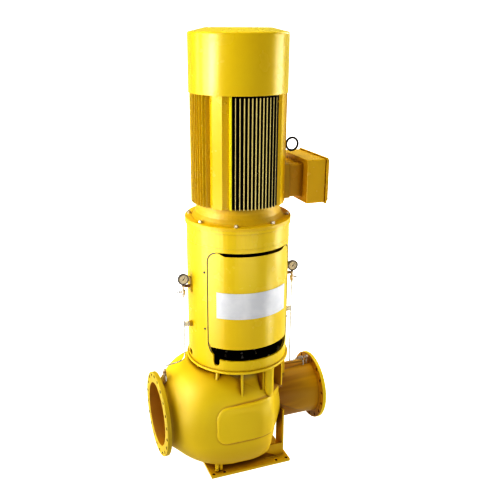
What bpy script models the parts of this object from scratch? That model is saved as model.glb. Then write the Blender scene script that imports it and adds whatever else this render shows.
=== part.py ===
"""Vertical in-line marine pump with its motor, modelled piece by piece.

Metres, +Z up. The origin is on the pump's axis, on the floor under the baseplate.
The guard faces -Y, the suction flange -X, the discharge flange and the terminal box +X.
"""

import math
from collections import namedtuple

import bmesh
import bpy
from mathutils import Matrix, Vector

# Driving dimensions
GAP = 0.0003                 # running gap between pieces that touch
SEAT_SWELL = 0.0009          # how far the casing is swollen to seat its neighbours
PIPE_Z = 0.4725              # height of both pipe flanges
FACE_TO_FACE = 1.370         # suction face to discharge face
RING_Z = 0.9125              # underside of the casing cover's flange
SHIELD_Z = 2.041             # underside of the motor flange
FRAME_Z = 2.180              # foot of the motor's fins
COWL_Z = 2.966               # lower edge of the fan cover
COWL_TOP_Z = 3.402           # highest point of the pump

BASE_SIDE = 0.680
BASE_THICKNESS = 0.0215
ANCHOR_DIAMETER = 0.022
ANCHOR_X = (0.225, 0.315)
ANCHOR_Y = 0.317

LEG_X = 0.294                # inner face of the upright plates
LEG_PLATE = 0.014
LEG_FRONT = 0.270
LEG_HEAD = 0.450
SUCTION_LEG_X = 0.240

# Pipe flanges: outside diameter, bore, bolt circle, number and size of holes, thickness
PipeFlange = namedtuple("PipeFlange", "outside bore circle holes hole thickness")
SUCTION = PipeFlange(0.670, 0.500, 0.620, 20, 0.026, 0.034)
DISCHARGE = PipeFlange(0.565, 0.400, 0.515, 16, 0.026, 0.030)
SUCTION_PIPE_RADIUS = 0.268
DISCHARGE_PIPE_RADIUS = 0.218
SUCTION_PASSAGE = 0.400      # depth of each open passage behind its face
DISCHARGE_PASSAGE = 0.330

COVER_RADIUS = 0.4055
COVER_THICKNESS = 0.020
RIB_COUNT = 12
RIB_RADIUS = 0.390
RIB_THICKNESS = 0.018
RIB_FOOT_Z = 0.690
RIB_FLARE = (0.044, 0.030)   # width of a rib's flare under the flange, and its height
BOSS_ANGLE = math.radians(22.5)
BOSS_CENTRE_RADIUS = 0.358
BOSS_RADIUS = 0.040
BOSS_FOOT_Z = 0.655
BOSS_WEB_RADIUS = 0.354      # outer edge of the rib that runs into the boss

LANTERN_RADIUS = 0.3905
LANTERN_WALL = 0.016
LANTERN_TOP_RADIUS = 0.400
LANTERN_TOP_THICKNESS = 0.020
WINDOW_HALF_ANGLE = math.radians(55.6)
WINDOW_Z = (1.017, 1.873)
WINDOW_TOP_CORNER = 0.085
WINDOW_FOOT_CORNER = 0.140
SLOT_ANGLE = math.radians(44.6)
SLOT_WIDTH = 0.050
SLOT_FOOT_Z = 0.967
DRAIN_SLOT = (0.060, 0.945, 0.990)   # width, foot and head height

GUARD_Z = (1.113, 1.849)
GUARD_CLEARANCE = 0.0025
GUARD_SKIN = 0.004
GUARD_EAR_ANGLE = math.radians(62.0)
GUARD_EAR_Z = (1.200, 1.755)
PLATE_HALF_ANGLE = math.radians(43.9)
PLATE_Z = (1.363, 1.568)
PLATE_THICKNESS = 0.002

MOTOR_FLANGE_RADIUS = 0.400
MOTOR_FLANGE_THICKNESS = 0.025
FIN_TIP_RADIUS = 0.350
FIN_ROOT_RADIUS = 0.268
FIN_COUNT = 13
FIN_PITCH = 0.0275
FIN_THICKNESS = 0.0105
CORNER_FLAT = 0.275          # distance of the corner blocks' side flats from the axis
CORNER_CHAMFER = 0.221       # where each side flat ends and the 45 degree pad begins
COWL_RADIUS = 0.357
COWL_SHEET = 0.0035
COWL_FLAT_RADIUS = 0.235

BOX_X = (0.4615, 0.612)
BOX_Y = 0.225
BOX_Z = (2.155, 2.482)
BOX_LID = (0.030, 0.008)     # thickness and overhang
NECK_Y = 0.140
NECK_Z = (2.198, 2.440)
NECK_SEAT_X = 0.352
EYE_CENTRE = (0.435, 0.0, 2.569)
EYE_RADIUS = 0.0485
EYE_WIRE = 0.0065

GAUGE_X = 0.452
GAUGE_Y = -0.035
GAUGE_Z = 1.607
GAUGE_RADIUS = 0.044
GAUGE_VALVE_Z = 1.505
LINE_RADIUS = 0.005
CLAMP_Z = 1.235
SUCTION_TAP = Vector((-0.614, -0.010, PIPE_Z + SUCTION_PIPE_RADIUS))
DISCHARGE_TAP = Vector((0.622, -0.010, PIPE_Z + DISCHARGE_PIPE_RADIUS))
SUCTION_COCK_Z = 0.826
DISCHARGE_COCK_Z = 0.748
COCK_STEM = 0.026            # stem length from a cock's axis to its lever
LEVER_REACH = 0.048
LEVER_DROP = 0.042
LEVER_WIDTH = 0.011

# Cross-sections of the volute casing along X: place, half width, height above and below
# the flange centre, and the squareness of the upper and lower half (2 is an ellipse).
Section = namedtuple("Section", "x half_width up down upper lower")
CASING_SECTIONS = (
    Section(-0.660, 0.268, 0.268, 0.268, 2.0, 2.0),
    Section(-0.615, 0.270, 0.270, 0.268, 2.0, 2.0),
    Section(-0.567, 0.312, 0.318, 0.298, 2.0, 2.0),
    Section(-0.507, 0.362, 0.370, 0.343, 2.0, 2.1),
    Section(-0.440, 0.395, 0.398, 0.378, 2.0, 2.3),
    Section(-0.360, 0.414, 0.418, 0.406, 2.6, 2.8),
    Section(-0.270, 0.420, 0.418, 0.424, 3.4, 3.6),
    Section(-0.180, 0.425, 0.400, 0.430, 2.9, 3.8),
    Section(-0.090, 0.426, 0.380, 0.428, 2.7, 3.9),
    Section(0.000, 0.424, 0.356, 0.426, 2.6, 4.0),
    Section(0.080, 0.408, 0.326, 0.424, 2.6, 3.9),
    Section(0.150, 0.375, 0.296, 0.420, 2.6, 3.6),
    Section(0.210, 0.302, 0.278, 0.385, 2.6, 2.8),
    Section(0.250, 0.256, 0.262, 0.320, 2.3, 2.0),
    Section(0.285, 0.222, 0.230, 0.240, 2.0, 2.0),
    Section(0.320, 0.218, 0.218, 0.218, 2.0, 2.0),
    Section(0.400, 0.218, 0.218, 0.218, 2.0, 2.0),
    Section(0.660, 0.218, 0.218, 0.218, 2.0, 2.0),
)
SECTION_POINTS = 40
PAD_RISE = 0.008             # the raised pad on the casing's front
PAD_X = (-0.314, 0.330)
PAD_Z = (0.347, 0.656)
PAD_CORNER = 0.075

DRAIN_X = (-0.279, -0.243)    # the drain nipple under the casing and the lug beside it
DRAIN_Y = -0.290
DRAIN_RADIUS = 0.017

YELLOW = (0.86, 0.62, 0.02, 1.0)
STEEL = (0.60, 0.60, 0.58, 1.0)


def clear_scene():
    """Remove what the start-up scene holds."""
    for item in list(bpy.data.objects):
        bpy.data.objects.remove(item, do_unlink=True)


def collection(name):
    """Make a collection in the scene."""
    made = bpy.data.collections.new(name)
    bpy.context.scene.collection.children.link(made)
    return made


def material(name, colour, roughness, metallic=0.0):
    """Make a plain Principled material."""
    made = bpy.data.materials.new(name)
    made.use_nodes = True
    shader = made.node_tree.nodes["Principled BSDF"]
    shader.inputs["Base Color"].default_value = colour
    shader.inputs["Roughness"].default_value = roughness
    shader.inputs["Metallic"].default_value = metallic
    return made


clear_scene()
PARTS = collection("marine_pump")
CUTTERS = collection("cutters")
PAINT = material("yellow_enamel", YELLOW, 0.3)
METAL = material("bare_steel", STEEL, 0.35, 1.0)
DARK = material("dark_steel", (0.03, 0.03, 0.03, 1.0), 0.5, 0.6)
SILVER = material("silver_plate", (0.80, 0.80, 0.80, 1.0), 0.35, 0.4)
BRASS = material("brown_bronze", (0.30, 0.13, 0.04, 1.0), 0.4, 0.7)


def add(name, mesh, finish=PAINT, cutter=False):
    """Put a mesh in the scene as a part, or as a cutter that isn't one."""
    made = bpy.data.objects.new(name, mesh)
    (CUTTERS if cutter else PARTS).objects.link(made)
    mesh.materials.append(finish)
    if cutter:
        made.hide_render = True
        made.display_type = "WIRE"
    else:
        mesh.shade_smooth()
        mesh.set_sharp_from_angle(angle=math.radians(32.0))
    return made


def from_bmesh(name, mesh_data):
    """Turn a bmesh into a mesh with its faces pointing out."""
    bmesh.ops.recalc_face_normals(mesh_data, faces=mesh_data.faces)
    mesh = bpy.data.meshes.new(name)
    mesh_data.to_mesh(mesh)
    mesh_data.free()
    return mesh


def box_mesh(name, low, high, bevel=0.0):
    """A box between two corners, with bevelled edges where asked."""
    data = bmesh.new()
    low = Vector(low)
    high = Vector(high)
    size = high - low
    place = Matrix.Translation((low + high) / 2.0) @ Matrix.Diagonal((*size, 1.0))
    bmesh.ops.create_cube(data, size=1.0, matrix=place)
    if bevel:
        bmesh.ops.bevel(data, geom=data.edges, offset=bevel, segments=1, affect="EDGES")
    return from_bmesh(name, data)


def rod_mesh(name, start, end, radius, sides=24, end_radius=None):
    """A round bar or cone between two points."""
    data = bmesh.new()
    start = Vector(start)
    end = Vector(end)
    along = end - start
    turn = Vector((0.0, 0.0, 1.0)).rotation_difference(along).to_matrix().to_4x4()
    place = Matrix.Translation((start + end) / 2.0) @ turn
    tip = radius if end_radius is None else end_radius
    bmesh.ops.create_cone(data, cap_ends=True, segments=sides, radius1=radius,
                          radius2=tip, depth=along.length, matrix=place)
    return from_bmesh(name, data)


def prism_mesh(name, outline, low, high, plane="XY"):
    """An outline of (u, v) points, extruded between two heights of the third axis."""
    data = bmesh.new()
    place = {"XY": lambda u, v, w: (u, v, w),
             "XZ": lambda u, v, w: (u, w, v),
             "YZ": lambda u, v, w: (w, u, v)}[plane]
    foot = [data.verts.new(place(u, v, low)) for u, v in outline]
    head = [data.verts.new(place(u, v, high)) for u, v in outline]
    data.faces.new(foot)
    data.faces.new(head)
    count = len(outline)
    for i in range(count):
        j = (i + 1) % count
        data.faces.new((foot[i], foot[j], head[j], head[i]))
    return from_bmesh(name, data)


def evaluated(source, name):
    """The mesh that an object has after its modifiers, in world space."""
    graph = bpy.context.evaluated_depsgraph_get()
    mesh = bpy.data.meshes.new_from_object(source.evaluated_get(graph))
    mesh.transform(source.matrix_world)
    mesh.name = name
    return mesh


def turned(name, profile, steps=64, finish=PAINT, cutter=False):
    """Turn a profile of (radius, height) points about the Z axis, its faces outward."""
    mesh = bpy.data.meshes.new(name)
    points = [(radius, 0.0, height) for radius, height in profile]
    on_axis = profile[0][0] == 0.0 and profile[-1][0] == 0.0
    last = len(points) - 1
    edges = [(i, i + 1) for i in range(last)]
    if not on_axis:
        edges.append((last, 0))
    mesh.from_pydata(points, edges, [])
    made = add(name, mesh, finish, cutter)
    screw = made.modifiers.new("turn", "SCREW")
    screw.steps = steps
    screw.render_steps = steps
    screw.use_merge_vertices = True
    screw.merge_threshold = 0.0001
    screw.use_normal_calculate = True
    data = bmesh.new()
    data.from_mesh(evaluated(made, "turned"))
    screw.use_normal_flip = data.calc_volume(signed=True) < 0.0
    data.free()
    return made


def combine(target, other, operation):
    """Cut, join or intersect the target with another object."""
    step = target.modifiers.new(operation.lower(), "BOOLEAN")
    step.operation = operation
    step.object = other
    step.solver = "EXACT"


def cut(target, mesh):
    """Cut a mesh away from a part."""
    combine(target, add(f"{target.name}_cutter", mesh, cutter=True), "DIFFERENCE")


def join(target, mesh):
    """Fuse a mesh to a part."""
    combine(target, add(f"{target.name}_joined", mesh, cutter=True), "UNION")


def arc(centre, radius, start, end, count):
    """Points on a circular arc, angles in radians."""
    made = []
    for i in range(count + 1):
        angle = start + (end - start) * i / count
        made.append((centre[0] + radius * math.cos(angle),
                     centre[1] + radius * math.sin(angle)))
    return made


def rounded_rectangle(low, high, head_corner, foot_corner, count=5):
    """Outline of a rectangle with its own corner radius at the head and the foot."""
    (left, foot), (right, head) = low, high
    quarter = math.pi / 2.0
    corners = ((right - head_corner, head - head_corner, head_corner, 0.0),
               (left + head_corner, head - head_corner, head_corner, quarter),
               (left + foot_corner, foot + foot_corner, foot_corner, 2.0 * quarter),
               (right - foot_corner, foot + foot_corner, foot_corner, 3.0 * quarter))
    outline = []
    for x, y, radius, start in corners:
        outline += arc((x, y), radius, start, start + quarter, count)
    return outline


def bent_prism(name, outline, inner, outer, centre_angle=0.0):
    """An outline of (arc length, height) points wrapped round the Z axis.

    The arc length is measured at the lantern's radius from the front, towards +X.
    """
    data = bmesh.new()
    layers = []
    for radius in (inner, outer):
        ring = []
        for length, height in outline:
            angle = centre_angle + length / LANTERN_RADIUS
            place = (radius * math.sin(angle), -radius * math.cos(angle), height)
            ring.append(data.verts.new(place))
        layers.append(ring)
    for ring in layers:
        data.faces.new(ring)
    count = len(outline)
    for i in range(count):
        j = (i + 1) % count
        data.faces.new((layers[0][i], layers[0][j], layers[1][j], layers[1][i]))
    return from_bmesh(name, data)


def bent_sheet(name, rows, inner, outer, centre_angle=0.0):
    """A curved plate of columns, each row an arc length with its foot and head height."""
    data = bmesh.new()
    columns = []
    for length, foot, head in rows:
        angle = centre_angle + length / LANTERN_RADIUS
        corner = []
        for radius, height in ((inner, foot), (outer, foot), (outer, head), (inner, head)):
            place = (radius * math.sin(angle), -radius * math.cos(angle), height)
            corner.append(data.verts.new(place))
        columns.append(corner)
    data.faces.new(columns[0])
    data.faces.new(columns[-1])
    for before, after in zip(columns, columns[1:]):
        for k in range(4):
            m = (k + 1) % 4
            data.faces.new((before[k], before[m], after[m], after[k]))
    return from_bmesh(name, data)


def level_rows(left, right, foot, head, columns):
    """Rows of a curved plate with a straight foot and head."""
    made = []
    for i in range(columns + 1):
        made.append((left + (right - left) * i / columns, foot, head))
    return made


def smooth_sections(per_interval=2):
    """The casing's sections with smooth ones between them (Catmull-Rom)."""
    made = []
    last = len(CASING_SECTIONS) - 1
    for i in range(last):
        ends = [CASING_SECTIONS[max(0, min(last, i + k))] for k in (-1, 0, 1, 2)]
        for step in range(per_interval):
            t = step / per_interval
            values = []
            for a, b, c, d in zip(*ends):
                values.append(0.5 * (2.0 * b + (c - a) * t
                                     + (2.0 * a - 5.0 * b + 4.0 * c - d) * t * t
                                     + (3.0 * b - a - 3.0 * c + d) * t ** 3))
            made.append(Section(*values))
    made.append(CASING_SECTIONS[-1])
    return made


def section_point(section, turn, swell):
    """A point of a casing section: turn runs once round it, swell stands proud."""
    across = math.cos(turn)
    above = math.sin(turn)
    power = section.upper if above > 0.0 else section.lower
    height = section.up if above > 0.0 else section.down
    y = math.copysign(abs(across) ** (2.0 / power), across)
    z = math.copysign(abs(above) ** (2.0 / power), above)
    return (section.x, y * (section.half_width + swell), PIPE_Z + z * (height + swell))


def casing_loft(name, swell=0.0):
    """The casing's outer form, lofted through its sections from flange to flange."""
    data = bmesh.new()
    rings = []
    for section in smooth_sections():
        ring = []
        for i in range(SECTION_POINTS):
            turn = 2.0 * math.pi * i / SECTION_POINTS
            ring.append(data.verts.new(section_point(section, turn, swell)))
        rings.append(ring)
    data.faces.new(rings[0])
    data.faces.new(rings[-1])
    for before, after in zip(rings, rings[1:]):
        for i in range(SECTION_POINTS):
            j = (i + 1) % SECTION_POINTS
            data.faces.new((before[i], before[j], after[j], after[i]))
    return from_bmesh(name, data)


def passage_mesh(name, flange, side, depth):
    """A pipe passage with a domed end, open at its flange face."""
    data = bmesh.new()
    face = side * FACE_TO_FACE / 2.0
    radius = flange.bore / 2.0
    dome = 5
    rows = [(face + side * 0.01, radius), (face - side * (depth - radius * 0.6), radius)]
    for i in range(1, dome):
        angle = math.pi / 2.0 * i / dome
        reach = depth - radius * 0.6 + radius * 0.6 * math.sin(angle)
        rows.append((face - side * reach, radius * math.cos(angle)))
    rings = []
    for x, r in rows:
        ring = []
        for i in range(36):
            turn = 2.0 * math.pi * i / 36
            ring.append(data.verts.new((x, r * math.cos(turn), PIPE_Z + r * math.sin(turn))))
        rings.append(ring)
    data.faces.new(rings[0])
    data.faces.new(rings[-1])
    for before, after in zip(rings, rings[1:]):
        for i in range(36):
            j = (i + 1) % 36
            data.faces.new((before[i], before[j], after[j], after[i]))
    return from_bmesh(name, data)


def merged(name, meshes):
    """One mesh that holds several separate ones."""
    data = bmesh.new()
    for mesh in meshes:
        data.from_mesh(mesh)
    made = bpy.data.meshes.new(name)
    data.to_mesh(made)
    data.free()
    return made


def bolt_holes(name, flange, side):
    """The bolt holes of a pipe flange, straddling its centre lines."""
    face = side * FACE_TO_FACE / 2.0
    holes = []
    for i in range(flange.holes):
        angle = 2.0 * math.pi * (i + 0.5) / flange.holes
        y = flange.circle / 2.0 * math.sin(angle)
        z = PIPE_Z + flange.circle / 2.0 * math.cos(angle)
        start = (face + side * 0.01, y, z)
        end = (face - side * (flange.thickness + 0.002), y, z)
        holes.append(rod_mesh(f"{name}_{i}", start, end, flange.hole / 2.0, 8))
    return merged(name, holes)


def make_baseplate():
    """The square plate that the pump stands on, with its eight anchor holes."""
    half = BASE_SIDE / 2.0
    plate = add("baseplate", box_mesh("baseplate", (-half, -half, 0.0),
                                      (half, half, BASE_THICKNESS)))
    holes = []
    for x in ANCHOR_X:
        for side_x in (-1.0, 1.0):
            for side_y in (-1.0, 1.0):
                spot = Vector((side_x * x, side_y * ANCHOR_Y, 0.0))
                foot = spot - Vector((0.0, 0.0, 0.01))
                head = spot + Vector((0.0, 0.0, BASE_THICKNESS + 0.01))
                holes.append(rod_mesh("anchor", foot, head, ANCHOR_DIAMETER / 2.0, 12))
    cut(plate, merged("anchor_holes", holes))
    return plate


def casing_form(name, swell=0.0, cutter=False):
    """The casing's lofted body with the raised pad on its front."""
    form = add(name, casing_loft(name, swell), cutter=cutter)
    pad = add(f"{name}_pad", casing_loft("pad", PAD_RISE + swell), cutter=True)
    outline = rounded_rectangle((PAD_X[0] - swell, PAD_Z[0] - swell),
                                (PAD_X[1] + swell, PAD_Z[1] + swell), PAD_CORNER, PAD_CORNER)
    window = prism_mesh("pad_outline", outline, -0.60, -0.15, "XZ")
    combine(pad, add(f"{name}_pad_outline", window, cutter=True), "INTERSECT")
    combine(form, pad, "UNION")
    return form


def make_casing():
    """The volute casing: one casting with both pipe flanges, its pad and its foot."""
    casing = casing_form("volute_casing")
    half = FACE_TO_FACE / 2.0
    for flange, side in ((SUCTION, -1.0), (DISCHARGE, 1.0)):
        disc = rod_mesh("flange", (side * half, 0.0, PIPE_Z),
                        (side * (half - flange.thickness), 0.0, PIPE_Z),
                        flange.outside / 2.0, 64)
        join(casing, disc)
    foot = rod_mesh("casing_foot", (-0.02, 0.0, BASE_THICKNESS + GAP),
                    (-0.02, 0.0, 0.12), 0.17, 32)
    join(casing, foot)
    for x in DRAIN_X:
        join(casing, rod_mesh("drain_boss", (x, DRAIN_Y, 0.030), (x, DRAIN_Y, 0.140),
                              DRAIN_RADIUS, 14))
    cut(casing, passage_mesh("suction_passage", SUCTION, -1.0, SUCTION_PASSAGE))
    cut(casing, passage_mesh("discharge_passage", DISCHARGE, 1.0, DISCHARGE_PASSAGE))
    cut(casing, bolt_holes("suction_holes", SUCTION, -1.0))
    cut(casing, bolt_holes("discharge_holes", DISCHARGE, 1.0))


def rib_outline(radius):
    """A rib of the casing cover as (radius, height) points."""
    return ((0.20, RING_Z + 0.005), (radius - 0.016, RING_Z + 0.005),
            (radius - 0.016, RING_Z - 0.002), (radius, RING_Z - 0.046),
            (radius, RIB_FOOT_Z), (0.20, RIB_FOOT_Z))


def make_cover(seat):
    """The casing cover: flange, flared hub, twelve flared ribs and the round boss."""
    head = RING_Z + COVER_THICKNESS
    cover = turned("casing_cover", (
        (0.0, head), (COVER_RADIUS - 0.003, head), (COVER_RADIUS, head - 0.003),
        (COVER_RADIUS, RING_Z + 0.003), (COVER_RADIUS - 0.003, RING_Z),
        (0.330, RING_Z), (0.302, 0.897), (0.289, 0.868), (0.288, 0.830), (0.296, 0.790),
        (0.312, 0.755), (0.332, 0.725), (0.346, 0.700), (0.350, 0.640), (0.0, 0.640)), 60)
    width, drop = RIB_FLARE
    flare = ((-width / 2.0, RING_Z + 0.004), (width / 2.0, RING_Z + 0.004),
             (width / 5.0, RING_Z - drop * 0.4), (RIB_THICKNESS / 2.0 - 0.001, RING_Z - drop),
             (-RIB_THICKNESS / 2.0 + 0.001, RING_Z - drop), (-width / 5.0, RING_Z - drop * 0.4))
    for i in range(RIB_COUNT):
        angle = 2.0 * math.pi * (i + 0.5) / RIB_COUNT
        turn = Matrix.Rotation(angle - math.pi / 2.0, 4, "Z")
        radius = BOSS_WEB_RADIUS if i == 0 else RIB_RADIUS
        mesh = prism_mesh("rib", rib_outline(radius), -RIB_THICKNESS / 2.0,
                          RIB_THICKNESS / 2.0, "XZ")
        mesh.transform(turn)
        join(cover, mesh)
        mesh = prism_mesh("flare", flare, 0.300, radius - 0.012, "YZ")
        mesh.transform(turn)
        join(cover, mesh)
    spot = Matrix.Rotation(BOSS_ANGLE, 3, "Z") @ Vector((0.0, -BOSS_CENTRE_RADIUS, 0.0))
    join(cover, rod_mesh("boss", spot + Vector((0.0, 0.0, BOSS_FOOT_Z)),
                         spot + Vector((0.0, 0.0, RING_Z + 0.005)), BOSS_RADIUS, 24))
    combine(cover, seat, "DIFFERENCE")
    return cover


def make_seal_housing():
    """The shaft seal's housing on top of the casing cover, seen through the lantern."""
    foot = RING_Z + COVER_THICKNESS + GAP
    return turned("seal_housing", (
        (0.0, foot + 0.130), (0.070, foot + 0.130), (0.070, foot + 0.090),
        (0.120, foot + 0.085), (0.120, foot + 0.035), (0.175, foot + 0.030),
        (0.175, foot), (0.0, foot)), 28, METAL)


def make_shaft():
    """The pump shaft, the coupling halves and the motor's shaft end."""
    foot = RING_Z + COVER_THICKNESS + 0.130 + 2.0 * GAP
    head = SHIELD_Z - GAP
    return turned("shaft_coupling", (
        (0.0, head), (0.045, head), (0.045, 1.600), (0.110, 1.590), (0.110, 1.470),
        (0.085, 1.465), (0.085, 1.425), (0.110, 1.420), (0.110, 1.300), (0.036, 1.290),
        (0.036, foot), (0.0, foot)), 24, METAL)


def window_rows():
    """Rows of the lantern's window, inside its round corners, with the slot below it."""
    half = WINDOW_HALF_ANGLE * LANTERN_RADIUS
    slot = -SLOT_ANGLE * LANTERN_RADIUS
    width = SLOT_WIDTH / 2.0
    edge = 0.0002
    stops = [half * (i / 14.0 - 1.0) for i in range(29)]
    stops = [stop for stop in stops if abs(stop - slot) > width + 0.002]
    stops += [slot + width * math.cos(math.pi * i / 8.0) for i in range(9)]
    stops += [slot - width - edge, slot + width + edge]
    rows = []
    for stop in sorted(stops):
        inside = half - abs(stop)
        foot = WINDOW_Z[0] + corner_drop(inside, WINDOW_FOOT_CORNER)
        head = WINDOW_Z[1] - corner_drop(inside, WINDOW_TOP_CORNER)
        across = abs(stop - slot)
        if across < width + edge / 2.0:
            rise = math.sqrt(max(0.0, width ** 2 - across ** 2))
            foot = SLOT_FOOT_Z + width - rise
        rows.append((stop, foot, head))
    return rows


def corner_drop(edge, radius):
    """How far a round corner draws in at a distance from the side edge."""
    if edge >= radius:
        return 0.0
    return radius - math.sqrt(max(0.0, radius ** 2 - (radius - edge) ** 2))


def make_lantern():
    """The lantern: a tube with a window front and rear, slots and end flanges."""
    foot = RING_Z + COVER_THICKNESS + GAP
    head = SHIELD_Z - GAP
    inside = LANTERN_RADIUS - LANTERN_WALL
    lantern = turned("lantern", (
        (0.300, head), (LANTERN_TOP_RADIUS, head),
        (LANTERN_TOP_RADIUS, head - LANTERN_TOP_THICKNESS),
        (LANTERN_RADIUS, head - LANTERN_TOP_THICKNESS - 0.003), (LANTERN_RADIUS, foot),
        (0.320, foot), (0.320, foot + 0.022), (inside, foot + 0.022),
        (inside, head - LANTERN_TOP_THICKNESS - 0.010),
        (0.300, head - LANTERN_TOP_THICKNESS)), 80)
    for centre in (0.0, math.pi):
        cut(lantern, bent_sheet("window", window_rows(), inside - 0.02,
                                LANTERN_RADIUS + 0.02, centre))
    width, low, high = DRAIN_SLOT
    for centre in (-math.pi / 2.0, math.pi / 2.0):
        outline = rounded_rectangle((-width / 2.0, low + 0.012), (width / 2.0, high + 0.010),
                                    0.015, 0.010, 3)
        cut(lantern, bent_prism("drain_slot", outline, inside - 0.02,
                                LANTERN_RADIUS + 0.02, centre))
    return lantern


def guard_rows():
    """Rows of a guard's skin: inside the window's corners, clipped below."""
    half = WINDOW_HALF_ANGLE * LANTERN_RADIUS - GUARD_CLEARANCE
    rows = []
    for i in range(29):
        stop = half * (i / 14.0 - 1.0)
        inside = half - abs(stop)
        foot = WINDOW_Z[0] + GUARD_CLEARANCE
        foot += corner_drop(inside, WINDOW_FOOT_CORNER - GUARD_CLEARANCE)
        head = GUARD_Z[1] - corner_drop(inside, WINDOW_TOP_CORNER - GUARD_CLEARANCE)
        rows.append((stop, max(foot, GUARD_Z[0]), head))
    return rows


def make_guard(name, centre_angle):
    """A coupling guard: the curved skin in the window and an ear behind each edge."""
    half = WINDOW_HALF_ANGLE * LANTERN_RADIUS - GUARD_CLEARANCE
    outer = LANTERN_RADIUS - 0.0005
    guard = add(name, bent_sheet(name, guard_rows(), outer - GUARD_SKIN, outer, centre_angle))
    inside = LANTERN_RADIUS - LANTERN_WALL - GAP
    ear = GUARD_EAR_ANGLE * LANTERN_RADIUS
    for side in (-1.0, 1.0):
        left, right = sorted((side * (half - 0.008), side * half))
        rows = level_rows(left, right, GUARD_EAR_Z[0], GUARD_EAR_Z[1], 1)
        join(guard, bent_sheet("web", rows, inside - 0.002, outer - 0.001, centre_angle))
        left, right = sorted((side * (half - 0.0085), side * ear))
        rows = level_rows(left, right, GUARD_EAR_Z[0] + 0.001, GUARD_EAR_Z[1] - 0.001, 3)
        join(guard, bent_sheet("ear", rows, inside - GUARD_SKIN, inside, centre_angle))
    return guard


def make_name_plate():
    """The bare silver plate on the front guard."""
    half = PLATE_HALF_ANGLE * LANTERN_RADIUS
    inner = LANTERN_RADIUS - 0.0005 + GAP
    rows = level_rows(-half, half, PLATE_Z[0], PLATE_Z[1], 28)
    return add("guard_plate", bent_sheet("guard_plate", rows, inner,
                                         inner + PLATE_THICKNESS), SILVER)


def make_motor_shield():
    """The motor's mounting flange and the bell above it."""
    top = SHIELD_Z + MOTOR_FLANGE_THICKNESS
    radius = MOTOR_FLANGE_RADIUS
    return turned("motor_flange", (
        (0.0, FRAME_Z - GAP), (0.312, FRAME_Z - GAP), (0.314, FRAME_Z - 0.045),
        (0.322, FRAME_Z - 0.078), (0.338, top + 0.012), (0.350, top),
        (radius - 0.003, top), (radius, top - 0.003), (radius, SHIELD_Z), (0.0, SHIELD_Z)),
        64)


def frame_outline():
    """Plan of the motor frame: four groups of fins and four bevelled corners."""
    quarter = []
    half = (FIN_COUNT - 1) / 2.0
    edge = half * FIN_PITCH + FIN_THICKNESS / 2.0
    quarter.append((-CORNER_CHAMFER, CORNER_FLAT))
    quarter.append((-edge, CORNER_FLAT))
    for i in range(FIN_COUNT):
        centre = (i - half) * FIN_PITCH
        left = centre - FIN_THICKNESS / 2.0
        right = centre + FIN_THICKNESS / 2.0
        tip = math.sqrt(FIN_TIP_RADIUS ** 2 - max(abs(left), abs(right)) ** 2)
        if i > 0:
            quarter.append((left, math.sqrt(FIN_ROOT_RADIUS ** 2 - left ** 2)))
        quarter.append((left, tip))
        quarter.append((right, tip))
        if i < FIN_COUNT - 1:
            quarter.append((right, math.sqrt(FIN_ROOT_RADIUS ** 2 - right ** 2)))
    quarter.append((edge, CORNER_FLAT))
    quarter.append((CORNER_CHAMFER, CORNER_FLAT))
    outline = []
    for turn in range(4):
        angle = -turn * math.pi / 2.0
        for u, v in quarter:
            outline.append((u * math.cos(angle) - v * math.sin(angle),
                            u * math.sin(angle) + v * math.cos(angle)))
    return outline


def make_frame():
    """The motor's finned frame, with the seat of the terminal box on its +X side."""
    frame = add("motor_frame", prism_mesh("motor_frame", frame_outline(), FRAME_Z,
                                          COWL_Z + 0.060))
    join(frame, box_mesh("box_seat", (0.200, -NECK_Y - 0.006, NECK_Z[0] - 0.006),
                         (NECK_SEAT_X, NECK_Y + 0.006, NECK_Z[1] + 0.006)))
    join(frame, rod_mesh("eye_boss", (0.200, 0.0, EYE_CENTRE[2]),
                         (NECK_SEAT_X, 0.0, EYE_CENTRE[2]), 0.024, 16))
    return frame


def make_cowl():
    """The fan cover: a sheet bell that overhangs the fins, its inside closed."""
    inside = COWL_RADIUS - COWL_SHEET
    ceiling = COWL_Z + 0.060 + GAP
    return turned("fan_cover", (
        (0.0, COWL_TOP_Z), (COWL_FLAT_RADIUS, COWL_TOP_Z),
        (COWL_RADIUS - 0.010, COWL_TOP_Z - 0.027), (COWL_RADIUS - 0.003, COWL_TOP_Z - 0.031),
        (COWL_RADIUS, COWL_TOP_Z - 0.038), (COWL_RADIUS, COWL_Z), (inside, COWL_Z),
        (inside, ceiling), (0.0, ceiling)), 64)


def make_terminal_box():
    """The terminal box on its neck, with its lid."""
    add("terminal_box_neck", box_mesh(
        "terminal_box_neck", (NECK_SEAT_X + GAP, -NECK_Y, NECK_Z[0]),
        (BOX_X[0] - GAP, NECK_Y, NECK_Z[1]), 0.006))
    add("terminal_box", box_mesh("terminal_box", (BOX_X[0], -BOX_Y, BOX_Z[0]),
                                 (BOX_X[1], BOX_Y, BOX_Z[1]), 0.004))
    thickness, over = BOX_LID
    start = BOX_X[1] + GAP
    data = bmesh.new()
    size = Vector((thickness, 2.0 * (BOX_Y + over), BOX_Z[1] - BOX_Z[0] + 2.0 * over))
    centre = Vector((start + thickness / 2.0, 0.0, (BOX_Z[0] + BOX_Z[1]) / 2.0))
    bmesh.ops.create_cube(data, size=1.0,
                          matrix=Matrix.Translation(centre) @ Matrix.Diagonal((*size, 1.0)))
    rim = [edge for edge in data.edges
           if all(vertex.co.x > centre.x for vertex in edge.verts)]
    bmesh.ops.bevel(data, geom=rim, offset=0.016, segments=2, affect="EDGES")
    add("terminal_box_lid", from_bmesh("terminal_box_lid", data))


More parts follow.
